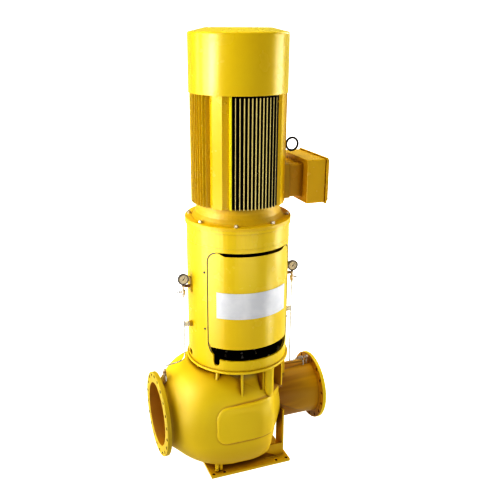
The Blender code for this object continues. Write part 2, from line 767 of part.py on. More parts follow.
def ring_mesh(name, centre, major, minor, around=20, section=8):
    """A ring that stands in the XZ plane."""
    data = bmesh.new()
    rings = []
    for i in range(around):
        turn = 2.0 * math.pi * i / around
        out = Vector((math.cos(turn), 0.0, math.sin(turn)))
        ring = []
        for k in range(section):
            roll = 2.0 * math.pi * k / section
            offset = out * (major + minor * math.cos(roll)) + Vector((0, minor * math.sin(roll), 0))
            ring.append(data.verts.new(Vector(centre) + offset))
        rings.append(ring)
    for i in range(around):
        after = rings[(i + 1) % around]
        for k in range(section):
            m = (k + 1) % section
            data.faces.new((rings[i][k], rings[i][m], after[m], after[k]))
    return from_bmesh(name, data)


def make_eye():
    """The lifting eye above the terminal box: ring, collar and shank."""
    x, y, z = EYE_CENTRE
    eye = add("lifting_eye", ring_mesh("lifting_eye", EYE_CENTRE, EYE_RADIUS, EYE_WIRE), DARK)
    join(eye, rod_mesh("shank", (NECK_SEAT_X + GAP, y, z), (x - EYE_RADIUS + 0.003, y, z),
                       0.010, 12))
    join(eye, rod_mesh("collar", (NECK_SEAT_X + GAP, y, z), (NECK_SEAT_X + 0.012, y, z),
                       0.018, 16))


def make_discharge_leg(name, side_y, seat):
    """An upright plate beside the discharge neck, with the gusset at its foot."""
    foot = BASE_THICKNESS + GAP
    back, front = sorted((side_y * 0.150, side_y * LEG_FRONT))
    leg = add(name, box_mesh(name, (LEG_X, back, foot), (LEG_X + LEG_PLATE, front, LEG_HEAD)))
    outline = ((LEG_X + 0.004, foot), (LEG_X - 0.035, foot), (LEG_X - 0.150, 0.085),
               (LEG_X - 0.150, 0.140), (LEG_X + 0.004, 0.140))
    near, far = sorted((side_y * (LEG_FRONT - LEG_PLATE), side_y * LEG_FRONT))
    join(leg, prism_mesh("gusset", outline, near, far, "XZ"))
    combine(leg, seat, "DIFFERENCE")


def make_suction_leg(name, side_y, seat):
    """A short plate under the suction side of the casing."""
    foot = BASE_THICKNESS + GAP
    back, front = sorted((side_y * 0.080, side_y * 0.190))
    leg = add(name, box_mesh(name, (-SUCTION_LEG_X - LEG_PLATE, back, foot),
                             (-SUCTION_LEG_X, front, 0.300)))
    combine(leg, seat, "DIFFERENCE")


def tube(name, route, radius, finish):
    """A steel line along a smooth curve through its route's points, straight at its ends."""
    curve = bpy.data.curves.new(name, "CURVE")
    curve.dimensions = "3D"
    curve.bevel_depth = radius
    curve.bevel_resolution = 1
    curve.use_fill_caps = True
    route = [Vector(point) for point in route]
    points = [route[0]] + smooth_route(route[1:-1], 4) + [route[-1]]
    spline = curve.splines.new("POLY")
    spline.points.add(len(points) - 1)
    for target, point in zip(spline.points, points):
        target.co = (*point, 1.0)
    shape = bpy.data.objects.new(name, curve)
    PARTS.objects.link(shape)
    mesh = evaluated(shape, name)
    bpy.data.objects.remove(shape, do_unlink=True)
    data = bmesh.new()
    data.from_mesh(mesh)
    bmesh.ops.remove_doubles(data, verts=data.verts, dist=0.0001)
    bmesh.ops.recalc_face_normals(data, faces=data.faces)
    data.to_mesh(mesh)
    data.free()
    mesh.materials.clear()
    return add(name, mesh, finish)


def smooth_route(points, steps):
    """Points on the smooth curve through the given ones (Catmull-Rom)."""
    made = []
    last = len(points) - 1
    for i in range(last):
        a, b, c, d = (points[max(0, min(last, i + k))] for k in (-1, 0, 1, 2))
        for step in range(steps):
            t = step / steps
            made.append(0.5 * (2.0 * b + (c - a) * t + (2.0 * a - 5.0 * b + 4.0 * c - d) * t * t
                               + (3.0 * b - a - 3.0 * c + d) * t ** 3))
    made.append(points[-1])
    return made


def strip_mesh(name, origin, out, outline, width):
    """A strip seen edge on: (distance along out, height) points, with a width across."""
    origin = Vector(origin)
    across = out.cross(Vector((0.0, 0.0, 1.0))) * width / 2.0
    data = bmesh.new()
    layers = []
    for shift in (-across, across):
        points = [origin + out * u + Vector((0.0, 0.0, v)) + shift for u, v in outline]
        layers.append([data.verts.new(point) for point in points])
    for layer in layers:
        data.faces.new(layer)
    for i in range(len(outline)):
        j = (i + 1) % len(outline)
        data.faces.new((layers[0][i], layers[0][j], layers[1][j], layers[1][i]))
    return from_bmesh(name, data)


def make_cock(name, centre, flow, stem, before, after):
    """A cock on a line: its body along the flow, and its lever on a stem of its own."""
    centre = Vector(centre)
    start = centre - flow * before
    end = centre + flow * after
    body = add(name, rod_mesh(name, start, end, 0.0095, 16), BRASS)
    for near, far in ((start, start + flow * 0.012), (end - flow * 0.012, end)):
        join(body, rod_mesh("nut", near, far, 0.0145, 6))
    join(body, rod_mesh("ball", centre - flow * 0.012, centre + flow * 0.012, 0.0165, 16))
    join(body, rod_mesh("stem", centre, centre + stem * COCK_STEM, 0.006, 12))
    hub = centre + stem * (COCK_STEM + GAP)
    word = name.replace("cock", "lever")
    lever = add(word, rod_mesh(word, hub, hub + stem * 0.005, 0.0085, 14), METAL)
    reach = LEVER_REACH - COCK_STEM
    strip = ((0.001, -0.002), (0.001, 0.0035), (reach - 0.006, 0.0035), (reach, -0.002),
             (reach + 0.004, -LEVER_DROP), (reach, -LEVER_DROP), (reach - 0.004, -0.004),
             (reach - 0.008, -0.001), (0.006, -0.001))
    join(lever, strip_mesh("strip", hub, stem, strip, LEVER_WIDTH))
    return body


def make_gauge(side, word):
    """One pressure gauge with its cock, its bracket and the clamp of its line."""
    x = side * GAUGE_X
    y = GAUGE_Y
    spot = Vector((x, y, GAUGE_VALVE_Z))
    up = Vector((0.0, 0.0, 1.0))
    head = GAUGE_VALVE_Z + 0.050
    gauge = add(f"{word}_gauge", rod_mesh(f"{word}_gauge", (x, y - 0.016, GAUGE_Z),
                                          (x, y + 0.014, GAUGE_Z), GAUGE_RADIUS, 36), METAL)
    join(gauge, rod_mesh("gauge_stem", (x, y, head + GAP), (x, y, GAUGE_Z), 0.007, 12))
    make_cock(f"{word}_gauge_cock", spot, up, Vector((side, 0.0, 0.0)), 0.024, 0.050)
    edge = GAUGE_X - 0.0145 - GAP
    low_x, high_x = sorted((side * 0.375, side * edge))
    arm = box_mesh("arm", (low_x, y - 0.012, head - 0.015), (high_x, y + 0.012, head))
    bracket = add(f"{word}_gauge_bracket", arm)
    low_x, high_x = sorted((side * 0.375, side * 0.3955))
    join(bracket, box_mesh("foot", (low_x, -0.050, head - 0.055), (high_x, 0.010, head + 0.055)))
    cut(bracket, rod_mesh("lantern_seat", (0.0, 0.0, 1.40), (0.0, 0.0, 1.80),
                          LANTERN_RADIUS + GAP, 96))
    low_x, high_x = sorted((side * 0.375, side * (GAUGE_X - LINE_RADIUS - GAP)))
    clamp = add(f"{word}_line_clamp", box_mesh(
        f"{word}_line_clamp", (low_x, y - 0.009, CLAMP_Z - 0.018),
        (high_x, y + 0.009, CLAMP_Z + 0.018)))
    cut(clamp, rod_mesh("lantern_seat", (0.0, 0.0, 1.10), (0.0, 0.0, 1.40),
                        LANTERN_RADIUS + GAP, 96))


def make_suction_tapping(seat):
    """The cock on top of the suction neck and the line that runs up to the gauge."""
    x, y, foot = SUCTION_TAP
    centre = Vector((x, y, SUCTION_COCK_Z))
    up = Vector((0.0, 0.0, 1.0))
    cock = make_cock("suction_tapping_cock", centre, up, Vector((0.0, -1.0, 0.0)),
                     SUCTION_COCK_Z - foot + 0.010, 0.028)
    combine(cock, seat, "DIFFERENCE")
    head = SUCTION_COCK_Z + 0.028
    gauge_x = -GAUGE_X
    tube("suction_gauge_line", (
        (x, y, head + GAP), (x, y, head + 0.012), (x + 0.012, y, head + 0.035),
        (x + 0.060, y - 0.006, head + 0.048), (gauge_x - 0.050, GAUGE_Y, 0.922),
        (gauge_x - 0.012, GAUGE_Y, 0.940), (gauge_x, GAUGE_Y, 0.985),
        (gauge_x, GAUGE_Y, 1.10), (gauge_x, GAUGE_Y, GAUGE_VALVE_Z - 0.024 - GAP)),
        LINE_RADIUS, METAL)


def make_discharge_tapping(seat):
    """The cock beside the discharge flange, its elbow and the line up to the gauge."""
    x, y, foot = DISCHARGE_TAP
    centre = Vector((x - 0.050, y, DISCHARGE_COCK_Z))
    flow = Vector((1.0, 0.0, 0.0))
    cock = make_cock("discharge_tapping_cock", centre, flow, Vector((0.0, -1.0, 0.0)),
                     0.030, 0.064)
    join(cock, rod_mesh("elbow", (x, y, foot - 0.010), (x, y, DISCHARGE_COCK_Z + 0.014),
                        0.013, 16))
    combine(cock, seat, "DIFFERENCE")
    end = x - 0.080 - GAP
    gauge_x = GAUGE_X
    z = DISCHARGE_COCK_Z
    tube("discharge_gauge_line", (
        (end, y, z), (end - 0.010, y, z), (end - 0.040, y - 0.010, z),
        (gauge_x + 0.030, GAUGE_Y, z + 0.002), (gauge_x + 0.006, GAUGE_Y, z + 0.012),
        (gauge_x, GAUGE_Y, z + 0.045), (gauge_x, GAUGE_Y, 1.10),
        (gauge_x, GAUGE_Y, GAUGE_VALVE_Z - 0.024 - GAP)), LINE_RADIUS, METAL)


def build():
    """Make every piece of the pump."""
    make_baseplate()
    make_casing()
    seat = casing_form("casing_seat", SEAT_SWELL, cutter=True)
    make_cover(seat)
    make_seal_housing()
    make_shaft()
    make_lantern()
    make_guard("front_guard", 0.0)
    make_guard("rear_guard", math.pi)
    make_name_plate()
    make_motor_shield()
    make_frame()
    make_cowl()
    make_terminal_box()
    make_eye()
    for word, side_y in (("front", -1.0), ("rear", 1.0)):
        make_discharge_leg(f"discharge_leg_{word}", side_y, seat)
        make_suction_leg(f"suction_leg_{word}", side_y, seat)
    make_gauge(-1.0, "suction")
    make_gauge(1.0, "discharge")
    make_suction_tapping(seat)
    make_discharge_tapping(seat)


build()
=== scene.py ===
"""Looks of the vertical in-line marine pump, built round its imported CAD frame.

Metres, Z up. The guard faces -Y, the suction flange -X, the discharge flange +X.
"""

import bisect
import collections
import itertools
import math
import operator
from math import cos, hypot, pi, radians, sin

import bmesh
import bpy
from mathutils import Matrix, Vector


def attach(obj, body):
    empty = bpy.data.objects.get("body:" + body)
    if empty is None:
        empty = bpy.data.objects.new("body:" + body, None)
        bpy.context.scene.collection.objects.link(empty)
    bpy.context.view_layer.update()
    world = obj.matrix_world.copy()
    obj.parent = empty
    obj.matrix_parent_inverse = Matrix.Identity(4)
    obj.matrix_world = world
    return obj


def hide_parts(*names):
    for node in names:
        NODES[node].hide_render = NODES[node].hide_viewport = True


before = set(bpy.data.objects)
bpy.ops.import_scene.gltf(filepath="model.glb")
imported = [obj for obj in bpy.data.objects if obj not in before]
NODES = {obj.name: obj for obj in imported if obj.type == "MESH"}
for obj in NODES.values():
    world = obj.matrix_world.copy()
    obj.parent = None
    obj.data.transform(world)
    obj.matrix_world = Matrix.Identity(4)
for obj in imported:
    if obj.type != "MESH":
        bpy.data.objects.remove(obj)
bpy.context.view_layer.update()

# The photo's camera, in the pixels of its 500 x 500 frame
IMAGE_SIZE = 500.0
FOCAL_PIXELS = 666.9
CENTRE_PIXEL = (237.67, 251.83)
SENSOR = 36.0
CAMERA_PLACE = (-1.7269, -4.5541, 3.4208)
CAMERA_HEADING = radians(-20.767)
CAMERA_TILT = radians(71.16)
CAMERA_ROLL = radians(0.206)

# Main sizes, the same as in the CAD source
PIPE_Z = 0.4725
FACE_X = 0.685
RING_Z = 0.9125
RING_TOP_Z = 0.9325
COVER_RADIUS = 0.4055
COVER_SEAT = 0.374           # the lantern's inside; the cover's top within it takes near-black painted shade
SHIELD_TOP_Z = 2.066
LANTERN_RADIUS = 0.3905
COWL_Z = 2.966
COWL_TOP_Z = 3.402
COWL_RADIUS = 0.357
COWL_WALL = 0.0035
BASE_TOP = 0.0215
FOOT_PLACE = (-0.02, 0.0, 0.0)
PAD_START = -0.314           # left end of the pad on the casing's front
PAD_END = 0.284
PAD_Z = (0.358, 0.66)        # its foot and head
PAD_CORNER = 0.085
PAD_RISE = 0.0077
PAD_LIMIT = 0.4332           # how far forward it may reach
BOX_NECK_HALF = 0.1465
BOX_NECK_Z = (2.1915, 2.4465)
LID_X = 0.6363               # seat of the terminal box's lid bolts
GAUGE_X = 0.452
GAUGE_Y = -0.035
GAUGE_Z = 1.607
GAUGE_VALVE_Z = 1.505
WINDOW_REACH = radians(55.6) * LANTERN_RADIUS  # from a window's middle to its side, rolled out
WINDOW_Z = (1.017, 1.873)
WINDOW_FOOT_CORNER = 0.14
WINDOW_TOP_CORNER = 0.085
GUARD_TOP = 1.849
FIN_TIP = 0.35
FIN_GROUP = 0.1695           # half width of each group of fins, inside its end faces

Flange = collections.namedtuple("Flange", "side bore neck outside thickness depth circle holes")
FLANGES = (Flange(-1.0, 0.25, 0.268, 0.335, 0.034, 0.4, 0.31, 20),
           Flange(1.0, 0.2, 0.218, 0.2825, 0.03, 0.33, 0.2575, 16))
BOLT_HOLE = 0.013

STEPS = 144                  # points round the casing and its cover
SHADER_SAMPLES = 8
FINE_EDGE = 0.0008           # soft shading at the edges of small parts
SHARP_ANGLE = radians(34.0)
FRONT, UP, DOWN = (0.0, -1.0, 0.0), (0.0, 0.0, 1.0), (0.0, 0.0, -1.0)
FRONT_AND_REAR = (0.0, pi)   # azimuths of the two windows
SIDES = (-1.0, 1.0)

WHITE = (1.0, 1.0, 1.0, 1.0)
SKY_LIGHT = 0.24             # strength of the surroundings above and below the horizon
FLOOR_BOUNCE = 0.53
FLOOR_Z = -0.0005
FLOOR_HALF = 30.0
LIGHT_DISTANCE = 4.5
LIGHTS = (
    # name, azimuth from -Y, height, size, radiance, and what it lights: matt or shiny parts
    ("left_low_fill", -112.0, 0.6, (3.0, 1.4), 5.0, "matt"),
    ("left_rear_fill", -120.0, 2.2, (1.6, 1.8), 2.3, "matt"),
    ("left_high_fill", -72.0, 4.4, (3.0, 2.4), 3.2, "matt"),
    ("right_low_fill", 92.0, 0.6, (2.4, 1.4), 9.0, "matt"),
    ("right_fill", 95.0, 2.2, (1.6, 1.8), 1.2, "matt"),
    ("right_rear_fill", 120.0, 4.4, (1.6, 2.4), 2.1, "matt"),
    ("left_strip", -80.0, 2.75, (0.8, 1.8), 12.8, "shiny"),
    ("left_wide_strip", -95.0, 2.75, (1.6, 1.8), 5.9, "shiny"),
    ("left_front_strip", -70.0, 3.2, (0.8, 0.9), 9.0, "shiny"),
    ("left_top_strip", -95.0, 5.0, (3.9, 0.9), 5.3, "shiny"),
    ("left_low_strip", -78.0, 0.5, (4.4, 0.9), 5.0, "shiny"),
    ("left_rear_strip", -120.0, 3.6, (0.8, 2.7), 3.0, "shiny"),
    ("right_strip", 80.0, 2.75, (2.4, 1.8), 4.7, "shiny"),
    ("right_low_strip", 76.0, 0.9, (1.6, 1.8), 3.0, "shiny"),
    ("right_top_strip", 100.0, 5.0, (3.2, 0.9), 5.0, "shiny"),
    ("right_rear_strip", 120.0, 4.1, (0.8, 0.9), 8.8, "shiny"),
    ("front_low_strip", 0.0, 0.5, (4.0, 0.9), 1.8, "shiny"),
    ("left_foot_strip", -72.0, -0.45, (3.4, 0.9), 3.0, "shiny"),
    ("right_foot_strip", 56.0, -0.45, (1.2, 0.9), 5.0, "shiny"),
)

SECTIONS = (
    # place along X, half width, height above and below the axis, squareness above and below
    (-0.660, 0.268, 0.268, 0.268, 2.0, 2.0),
    (-0.615, 0.270, 0.270, 0.268, 2.0, 2.0),
    (-0.567, 0.312, 0.318, 0.298, 2.05, 2.1),
    (-0.507, 0.362, 0.370, 0.343, 2.2, 2.3),
    (-0.440, 0.396, 0.400, 0.378, 2.45, 2.6),
    (-0.360, 0.415, 0.415, 0.406, 2.75, 3.0),
    (-0.270, 0.421, 0.414, 0.423, 2.95, 3.5),
    (-0.180, 0.425, 0.402, 0.430, 2.9, 3.8),
    (-0.090, 0.426, 0.380, 0.428, 2.7, 3.9),
    (0.000, 0.424, 0.356, 0.426, 2.6, 4.0),
    (0.080, 0.408, 0.326, 0.424, 2.6, 3.9),
    (0.150, 0.375, 0.296, 0.420, 2.6, 3.6),
    (0.210, 0.302, 0.278, 0.385, 2.6, 2.8),
    (0.250, 0.256, 0.262, 0.320, 2.3, 2.0),
    (0.285, 0.222, 0.230, 0.240, 2.0, 2.0),
    (0.320, 0.218, 0.218, 0.218, 2.0, 2.0),
    (0.400, 0.218, 0.218, 0.218, 2.0, 2.0),
    (0.660, 0.218, 0.218, 0.218, 2.0, 2.0),
)
SECTION_INSET = 0.0003       # the casing's skin lies this far inside the CAD's
HUB_PROFILE = (
    # radius and height of the casing cover's flared hub
    (0.33, 0.9125), (0.302, 0.897), (0.289, 0.868), (0.288, 0.83), (0.296, 0.79),
    (0.312, 0.755), (0.332, 0.725), (0.346, 0.7), (0.35, 0.64),
)
BLEND = 0.06                # reach of the soft blend between the hub and the casing


# Helpers for objects and points

def add_object(name, data):
    """A new object in the scene."""
    made = bpy.data.objects.new(name, data)
    bpy.context.scene.collection.objects.link(made)
    return made


def mm(*points):
    """Points that are given in millimetres."""
    return [tuple(part / 1000.0 for part in point) for point in points]


def polar(angle, radius, height):
    """The point at an angle from -Y towards +X, a radius from the axis and a height."""
    return Vector((radius * sin(angle), -radius * cos(angle), height))


# Camera, light and floor

def make_camera():
    """The camera of the photo."""
    data = bpy.data.cameras.new("photo_camera")
    data.sensor_fit = "HORIZONTAL"
    data.sensor_width = SENSOR
    data.lens = FOCAL_PIXELS / IMAGE_SIZE * SENSOR
    data.shift_x = (IMAGE_SIZE / 2.0 - CENTRE_PIXEL[0]) / IMAGE_SIZE
    data.shift_y = (CENTRE_PIXEL[1] - IMAGE_SIZE / 2.0) / IMAGE_SIZE
    camera = add_object("photo_camera", data)
    camera.location = CAMERA_PLACE
    turn = (Matrix.Rotation(CAMERA_HEADING, 3, "Z") @ Matrix.Rotation(CAMERA_TILT, 3, "X")
            @ Matrix.Rotation(CAMERA_ROLL, 3, "Z"))
    camera.rotation_euler = turn.to_euler()
    bpy.context.scene.camera = camera


def softbox(name, azimuth, height, distance, size, radiance, aim_z):
    """A rectangular studio light: azimuth in degrees from -Y towards +X."""
    data = bpy.data.lights.new(name, "AREA")
    data.shape = "RECTANGLE"
    data.size, data.size_y = size
    data.energy = radiance * pi * size[0] * size[1]
    light = add_object(name, data)
    light.location = polar(radians(azimuth), distance, height)
    aim = Vector((0.0, 0.0, aim_z)) - light.location
    light.rotation_euler = aim.to_track_quat("-Z", "Y").to_euler()
    return light


def make_lights():
    """The colour view and the soft lights."""
    settings = bpy.context.scene.view_settings
    settings.view_transform = "Standard"
    settings.look = "Very High Contrast"
    for name, azimuth, height, size, radiance, kind in LIGHTS:
        light = softbox(name, azimuth, height, LIGHT_DISTANCE, size, radiance,
                        0.4 + 0.6 * height)
        light.visible_diffuse = kind == "matt"
        light.visible_glossy = kind == "shiny"
    softbox("top", 180.0, 7.0, 1.0, (4.0, 4.0), 3.0, 0.0).visible_glossy = False


def make_world():
    """White surroundings for the camera, and a soft sky and floor bounce for the pump."""
    world = bpy.data.worlds.new("studio")
    bpy.context.scene.world = world
    world.use_nodes = True
    tree = world.node_tree
    tree.nodes.clear()
    height = add_node(tree, "SeparateXYZ", "Z", Vector=add_node(tree, "TexCoord", "Generated"))
    strength = add_node(tree, "MapRange", "Result", Value=height, From_Min=0.1, From_Max=-0.3,
                        To_Min=SKY_LIGHT, To_Max=FLOOR_BOUNCE)
    mixed = add_node(tree, "MixShader", "Shader", Fac=add_node(tree, "LightPath", "Is Camera Ray"))
    for socket, value in ((1, strength), (2, 1.0)):
        light = add_node(tree, "Background", "Background", Color=WHITE, Strength=value)
        feed(tree, mixed.node.inputs[socket], light)
    output = tree.nodes.new("ShaderNodeOutputWorld")
    feed(tree, output.inputs["Surface"], mixed)


def make_floor():
    """The white studio floor, dimmer round the pump's foot, which only the camera sees."""
    mesh = bpy.data.meshes.new("studio_floor")
    corners = ((-1.0, -1.0), (1.0, -1.0), (1.0, 1.0), (-1.0, 1.0))
    mesh.from_pydata([(x * FLOOR_HALF, y * FLOOR_HALF, FLOOR_Z) for x, y in corners], [],
                     [(0, 1, 2, 3)])
    floor = add_object("studio_floor", mesh)
    grey = (0.6, 0.6, 0.6)
    made = Finish("studio_floor", grey, 0.8)
    made.blend_colour(made.noise(3.0, 2.0), grey, (0.58, 0.58, 0.585))
    made.shade("Emission Color", WHITE)
    made.shade("Emission Strength", made.remap(made.radius(), 1.2, 3.0, 0.62, 1.0))
    mesh.materials.append(made.material)
    floor.visible_glossy = False
    floor.visible_diffuse = False
    floor.visible_shadow = False


# Materials

def feed(tree, socket, value):
    """Set an input, or link it where the value is another node's output."""
    if isinstance(value, bpy.types.NodeSocket):
        tree.links.new(value, socket)
    else:
        socket.default_value = value


def add_node(tree, kind, output, **values):
    """The output of a new node: small names are its settings, the others its inputs."""
    made = tree.nodes.new("ShaderNode" + kind)
    for name, value in values.items():
        if name.islower():
            setattr(made, name, value)
        else:
            feed(tree, made.inputs[name.replace("_", " ")], value)
    return made.outputs[output]


class Finish:
    """A Principled material and the few node groups that give it its detail."""

    def __init__(self, name, colour, roughness, metallic=0.0):
        self.material = bpy.data.materials.new(name)
        self.material.use_nodes = True
        self.tree = self.material.node_tree
        self.shade("Base Color", (*colour, 1.0))
        self.shade("Roughness", roughness)
        self.shade("Metallic", metallic)
        self.place = self.node("TexCoord", "Object")

    def node(self, kind, output, **values):
        """The output of a new node of this material."""
        return add_node(self.tree, kind, output, **values)

    def shade(self, name, value):
        """Set or link an input of the Principled shader."""
        feed(self.tree, self.tree.nodes["Principled BSDF"].inputs[name], value)

    def noise(self, scale, detail=3.0, stretch=None, roughness=0.5):
        """Noise in object space, drawn out along an axis where asked."""
        source = self.place
        if stretch:
            source = self.node("Mapping", "Vector", Vector=source, Scale=stretch)
        return self.node("TexNoise", "Fac", Vector=source, Scale=scale, Detail=detail,
                         Roughness=roughness)

    def remap(self, value, low, high, low_out=0.0, high_out=1.0):
        """Map a value from one range to another, clamped."""
        return self.node("MapRange", "Result", Value=value, From_Min=low, From_Max=high,
                         To_Min=low_out, To_Max=high_out)

    def math(self, operation, *values):
        """The result of an operation on one or two values, or on more in turn."""
        if len(values) > 2:
            values = (self.math(operation, *values[:-1]), values[-1])
        result = self.node("Math", "Value", operation=operation)
        for socket, value in zip(result.node.inputs, values):
            feed(self.tree, socket, value)
        return result

    def axis(self, name):
        """One coordinate of the place in the pump's frame."""
        return self.node("SeparateXYZ", name, Vector=self.place)

    def sizes(self):
        """The sizes of X and Y, the same in all four quarters."""
        return [self.math("ABSOLUTE", self.axis(name)) for name in "XY"]

    def distance(self, *parts):
        """The length of a step with these two parts."""
        squares = [self.math("MULTIPLY", part, part) for part in parts]
        return self.math("SQRT", self.math("ADD", *squares))

    def radius(self):
        """The distance from the pump's axis."""
        return self.distance(self.axis("X"), self.axis("Y"))

    def blend_colour(self, factor, first, second):
        """Mix two colours, or a colour into what is there, and use the result."""
        mix = self.node("Mix", 2, data_type="RGBA", Factor=factor).node
        for socket, source in ((6, first), (7, second)):
            feed(self.tree, mix.inputs[socket],
                 (*source, 1.0) if isinstance(source, tuple) else source)
        self.shade("Base Color", mix.outputs[2])
        return mix.outputs[2]

    def painted_crevice_shade(self, colour, deep, distance, reach):
        """Painted shade: darken towards a deep colour where surfaces come close together."""
        near = self.node("AmbientOcclusion", "AO", samples=SHADER_SAMPLES, Distance=distance)
        self.blend_colour(self.remap(near, 0.3, 0.9, reach, 0.0), colour, deep)

    def rough(self, value, low, high):
        """Let the roughness follow a noise."""
        self.shade("Roughness", self.remap(value, 0.3, 0.7, low, high))

    def relief(self, edge, value=None, strength=0.0, distance=0.0):
        """Round the shading of hard edges, and raise the surface along a noise where asked."""
        normal = self.node("Bevel", "Normal", samples=SHADER_SAMPLES, Radius=edge)
        if value:
            normal = self.node("Bump", "Normal", Strength=strength, Distance=distance,
                               Height=value, Normal=normal)
        self.shade("Normal", normal)


ENAMEL = (0.9, 0.675, 0.012)
ENAMEL_WARM = (0.89, 0.62, 0.008)
NECK_PAINTED_SHADE = (0.42, 0.205, 0.002)  # painted shade on the discharge neck
# Lighter painted shade on the discharge neck towards its flange
NECK_LIGHTER_PAINTED_SHADE = (0.6, 0.33, 0.003)
# Deep colour of the painted shade in creases
CREVICE_PAINTED_SHADE = (0.24, 0.09, 0.002)
DARK_PAINTED_SHADE = (0.02, 0.009, 0.003)       # near-black painted shade in hollows, gaps and insides


def enamel(name, grain, soft_edge, roughness=(0.25, 0.28), tone=(1.0, 1.0, 1.0), layers=(),
           reach=0.06):
    """Glossy yellow paint over metal, with a grain that is coarse on castings and painted shade
    where surfaces come close together.
    """
    made = Finish(name, ENAMEL, 0.28)
    main, warm = (tuple(map(operator.mul, tone, one)) for one in (ENAMEL, ENAMEL_WARM))
    colour = made.blend_colour(made.remap(made.noise(1.6, 2.0), 0.35, 0.7), main, warm)
    for mask, tint in layers:
        colour = made.blend_colour(mask(made), colour, tint)
    made.painted_crevice_shade(colour, CREVICE_PAINTED_SHADE, reach, 0.85)
    made.rough(made.noise(9.0, 3.0), *roughness)
    made.relief(soft_edge, made.noise(26.0, 4.0, roughness=0.6) if grain else None, grain, 0.0022)
    return made.material


def ramp(axis, start, end, low=0.0, high=1.0):
    """A mask that grows between two places along an axis, from nothing to full."""
    return lambda made: made.remap(made.axis(axis), start, end, low, high)


def both(*masks):
    """The part that all the masks share."""
    return lambda made: made.math("MULTIPLY", *(mask(made) for mask in masks))


def either(*masks):
    """All that the masks cover together."""
    return lambda made: made.math("MAXIMUM", *(mask(made) for mask in masks))


def within(axis, low, high):
    """A mask between two places along an axis."""
    return both(ramp(axis, low - 0.0002, low + 0.0002), ramp(axis, high + 0.0002, high - 0.0002))


def inside_radius(radius):
    """A mask that is full inside a radius from the pump's axis."""
    return lambda made: made.remap(made.radius(), radius, radius - 0.001)


def beyond(radius):
    """A mask over what stands further out from the pump's axis than a radius."""
    return lambda made: made.remap(made.radius(), radius, radius - 0.001, 1.0, 0.0)


def across_fins(start, end):
    """A mask over the smaller size of X and Y, which runs across each group of fins."""
    return lambda made: made.remap(made.math("MINIMUM", *made.sizes()), start, end)


def corner_strip(side, start, end):
    """A strip of a front corner of the motor frame, between two sizes of X."""
    return both(ramp("X", side * start, side * (start + 0.0008)),
                ramp("X", side * (end + 0.0008), side * end),
                across_fins(FIN_GROUP - 0.0115, FIN_GROUP - 0.011), ramp("Y", -0.1, -0.11))


def round_holes(centres, radius):
    """A mask inside holes that stand at the same places in all four quarters."""
    def mask(made):
        nearest = 1.0
        for centre in centres:
            gaps = [made.math("SUBTRACT", *pair) for pair in zip(made.sizes(), centre)]
            nearest = made.math("MINIMUM", made.distance(*gaps), nearest)
        return made.remap(nearest, radius + 0.001, radius + 0.0002)
    return mask


def from_the_pad(start, end, low=0.0, high=1.0):
    """A mask over the distance outwards from the edge of the casing's pad."""
    foot, head = PAD_Z

    def mask(made):
        left = made.math("SUBTRACT", PAD_START + PAD_CORNER, made.axis("X"))
        above = made.math("ABSOLUTE", made.math("SUBTRACT", made.axis("Z"), (foot + head) / 2.0))
        above = made.math("SUBTRACT", above, (head - foot) / 2.0 - PAD_CORNER)
        reach = made.distance(*(made.math("MAXIMUM", part, 0.0) for part in (left, above)))
        return made.remap(reach, PAD_CORNER + start, PAD_CORNER + end, low, high)
    return mask


def neck_highlight_streaks(made):
    """Soft painted highlight streaks that run along the discharge neck."""
    return made.remap(made.noise(7.0, 2.0, (0.12, 1.0, 1.0)), 0.5, 0.62, 0.0, 0.8)


def metal(name, colour, second, roughness, metallic=1.0):
    """Bare or tarnished metal with uneven colour and fine scratches."""
    made = Finish(name, colour, roughness[0], metallic)
    made.blend_colour(made.remap(made.noise(60.0, 5.0), 0.35, 0.68), colour, second)
    marks = made.noise(240.0, 2.0)
    made.rough(marks, *roughness)
    made.relief(FINE_EDGE, marks, 0.15, 0.0002)
    return made.material


def plain(name, colour, second, roughness, scale, fine_scale):
    """A painted or printed surface with slight mottling."""
    made = Finish(name, colour, roughness[0])
    made.blend_colour(made.noise(scale, 4.0), colour, second)
    made.rough(made.noise(fine_scale, 2.0), *roughness)
    return made.material


def make_plate_finish():
    """The bare silvery plate on the guard, finely brushed along its length."""
    made = Finish("silver_plate", (0.86, 0.865, 0.87), 0.34)
    made.blend_colour(made.remap(made.noise(9.0, 4.0), 0.35, 0.65),
                      (0.88, 0.88, 0.88), (0.77, 0.775, 0.79))
    lines = made.noise(60.0, 3.0, (1.0, 1.0, 14.0))
    made.rough(lines, 0.26, 0.42)
    made.relief(FINE_EDGE, lines, 0.1, 0.0002)
    return made.material


# Where the layers of paint and of painted light and shade lie
EVERYWHERE = ramp("X", -1.0, -0.999)
AMONG_FINS = across_fins(FIN_GROUP + 0.0002, FIN_GROUP)
# The depth of the gaps between the fins, and a strip under the cowl's edge: both take near-black
# painted shade
BETWEEN_FINS = both(AMONG_FINS, either(inside_radius(FIN_TIP - 0.0022),
                                       ramp("Z", COWL_Z - 0.013, COWL_Z - 0.012)))
# A narrow line of painted shadow on the casing along the edge of its raised pad
PAD_EDGE_PAINTED_SHADOW = both(from_the_pad(0.009, 0.024, 0.8, 0.0), ramp("X", -0.32, -0.16, 0.25),
                     from_the_pad(-0.004, 0.0), ramp("Y", -0.15, -0.2), ramp("X", 0.265, 0.245))
SUCTION_SIDE = ramp("X", -0.24, -0.25)
RIB_HEIGHT = within("Z", 0.6, RING_Z - 0.005)
# Painted shadow on the cover's hub under its ring flange
RING_PAINTED_SHADOW = both(ramp("Z", 0.8, 0.868), ramp("Z", RING_Z - 0.0047, RING_Z - 0.0051),
                  inside_radius(0.35))
BOX_SEAT = both(within("X", 0.245, 0.4),
                within("Y", 0.0003 - BOX_NECK_HALF, BOX_NECK_HALF - 0.0003),
                within("Z", BOX_NECK_Z[0] + 0.0003, BOX_NECK_Z[1] - 0.0003))

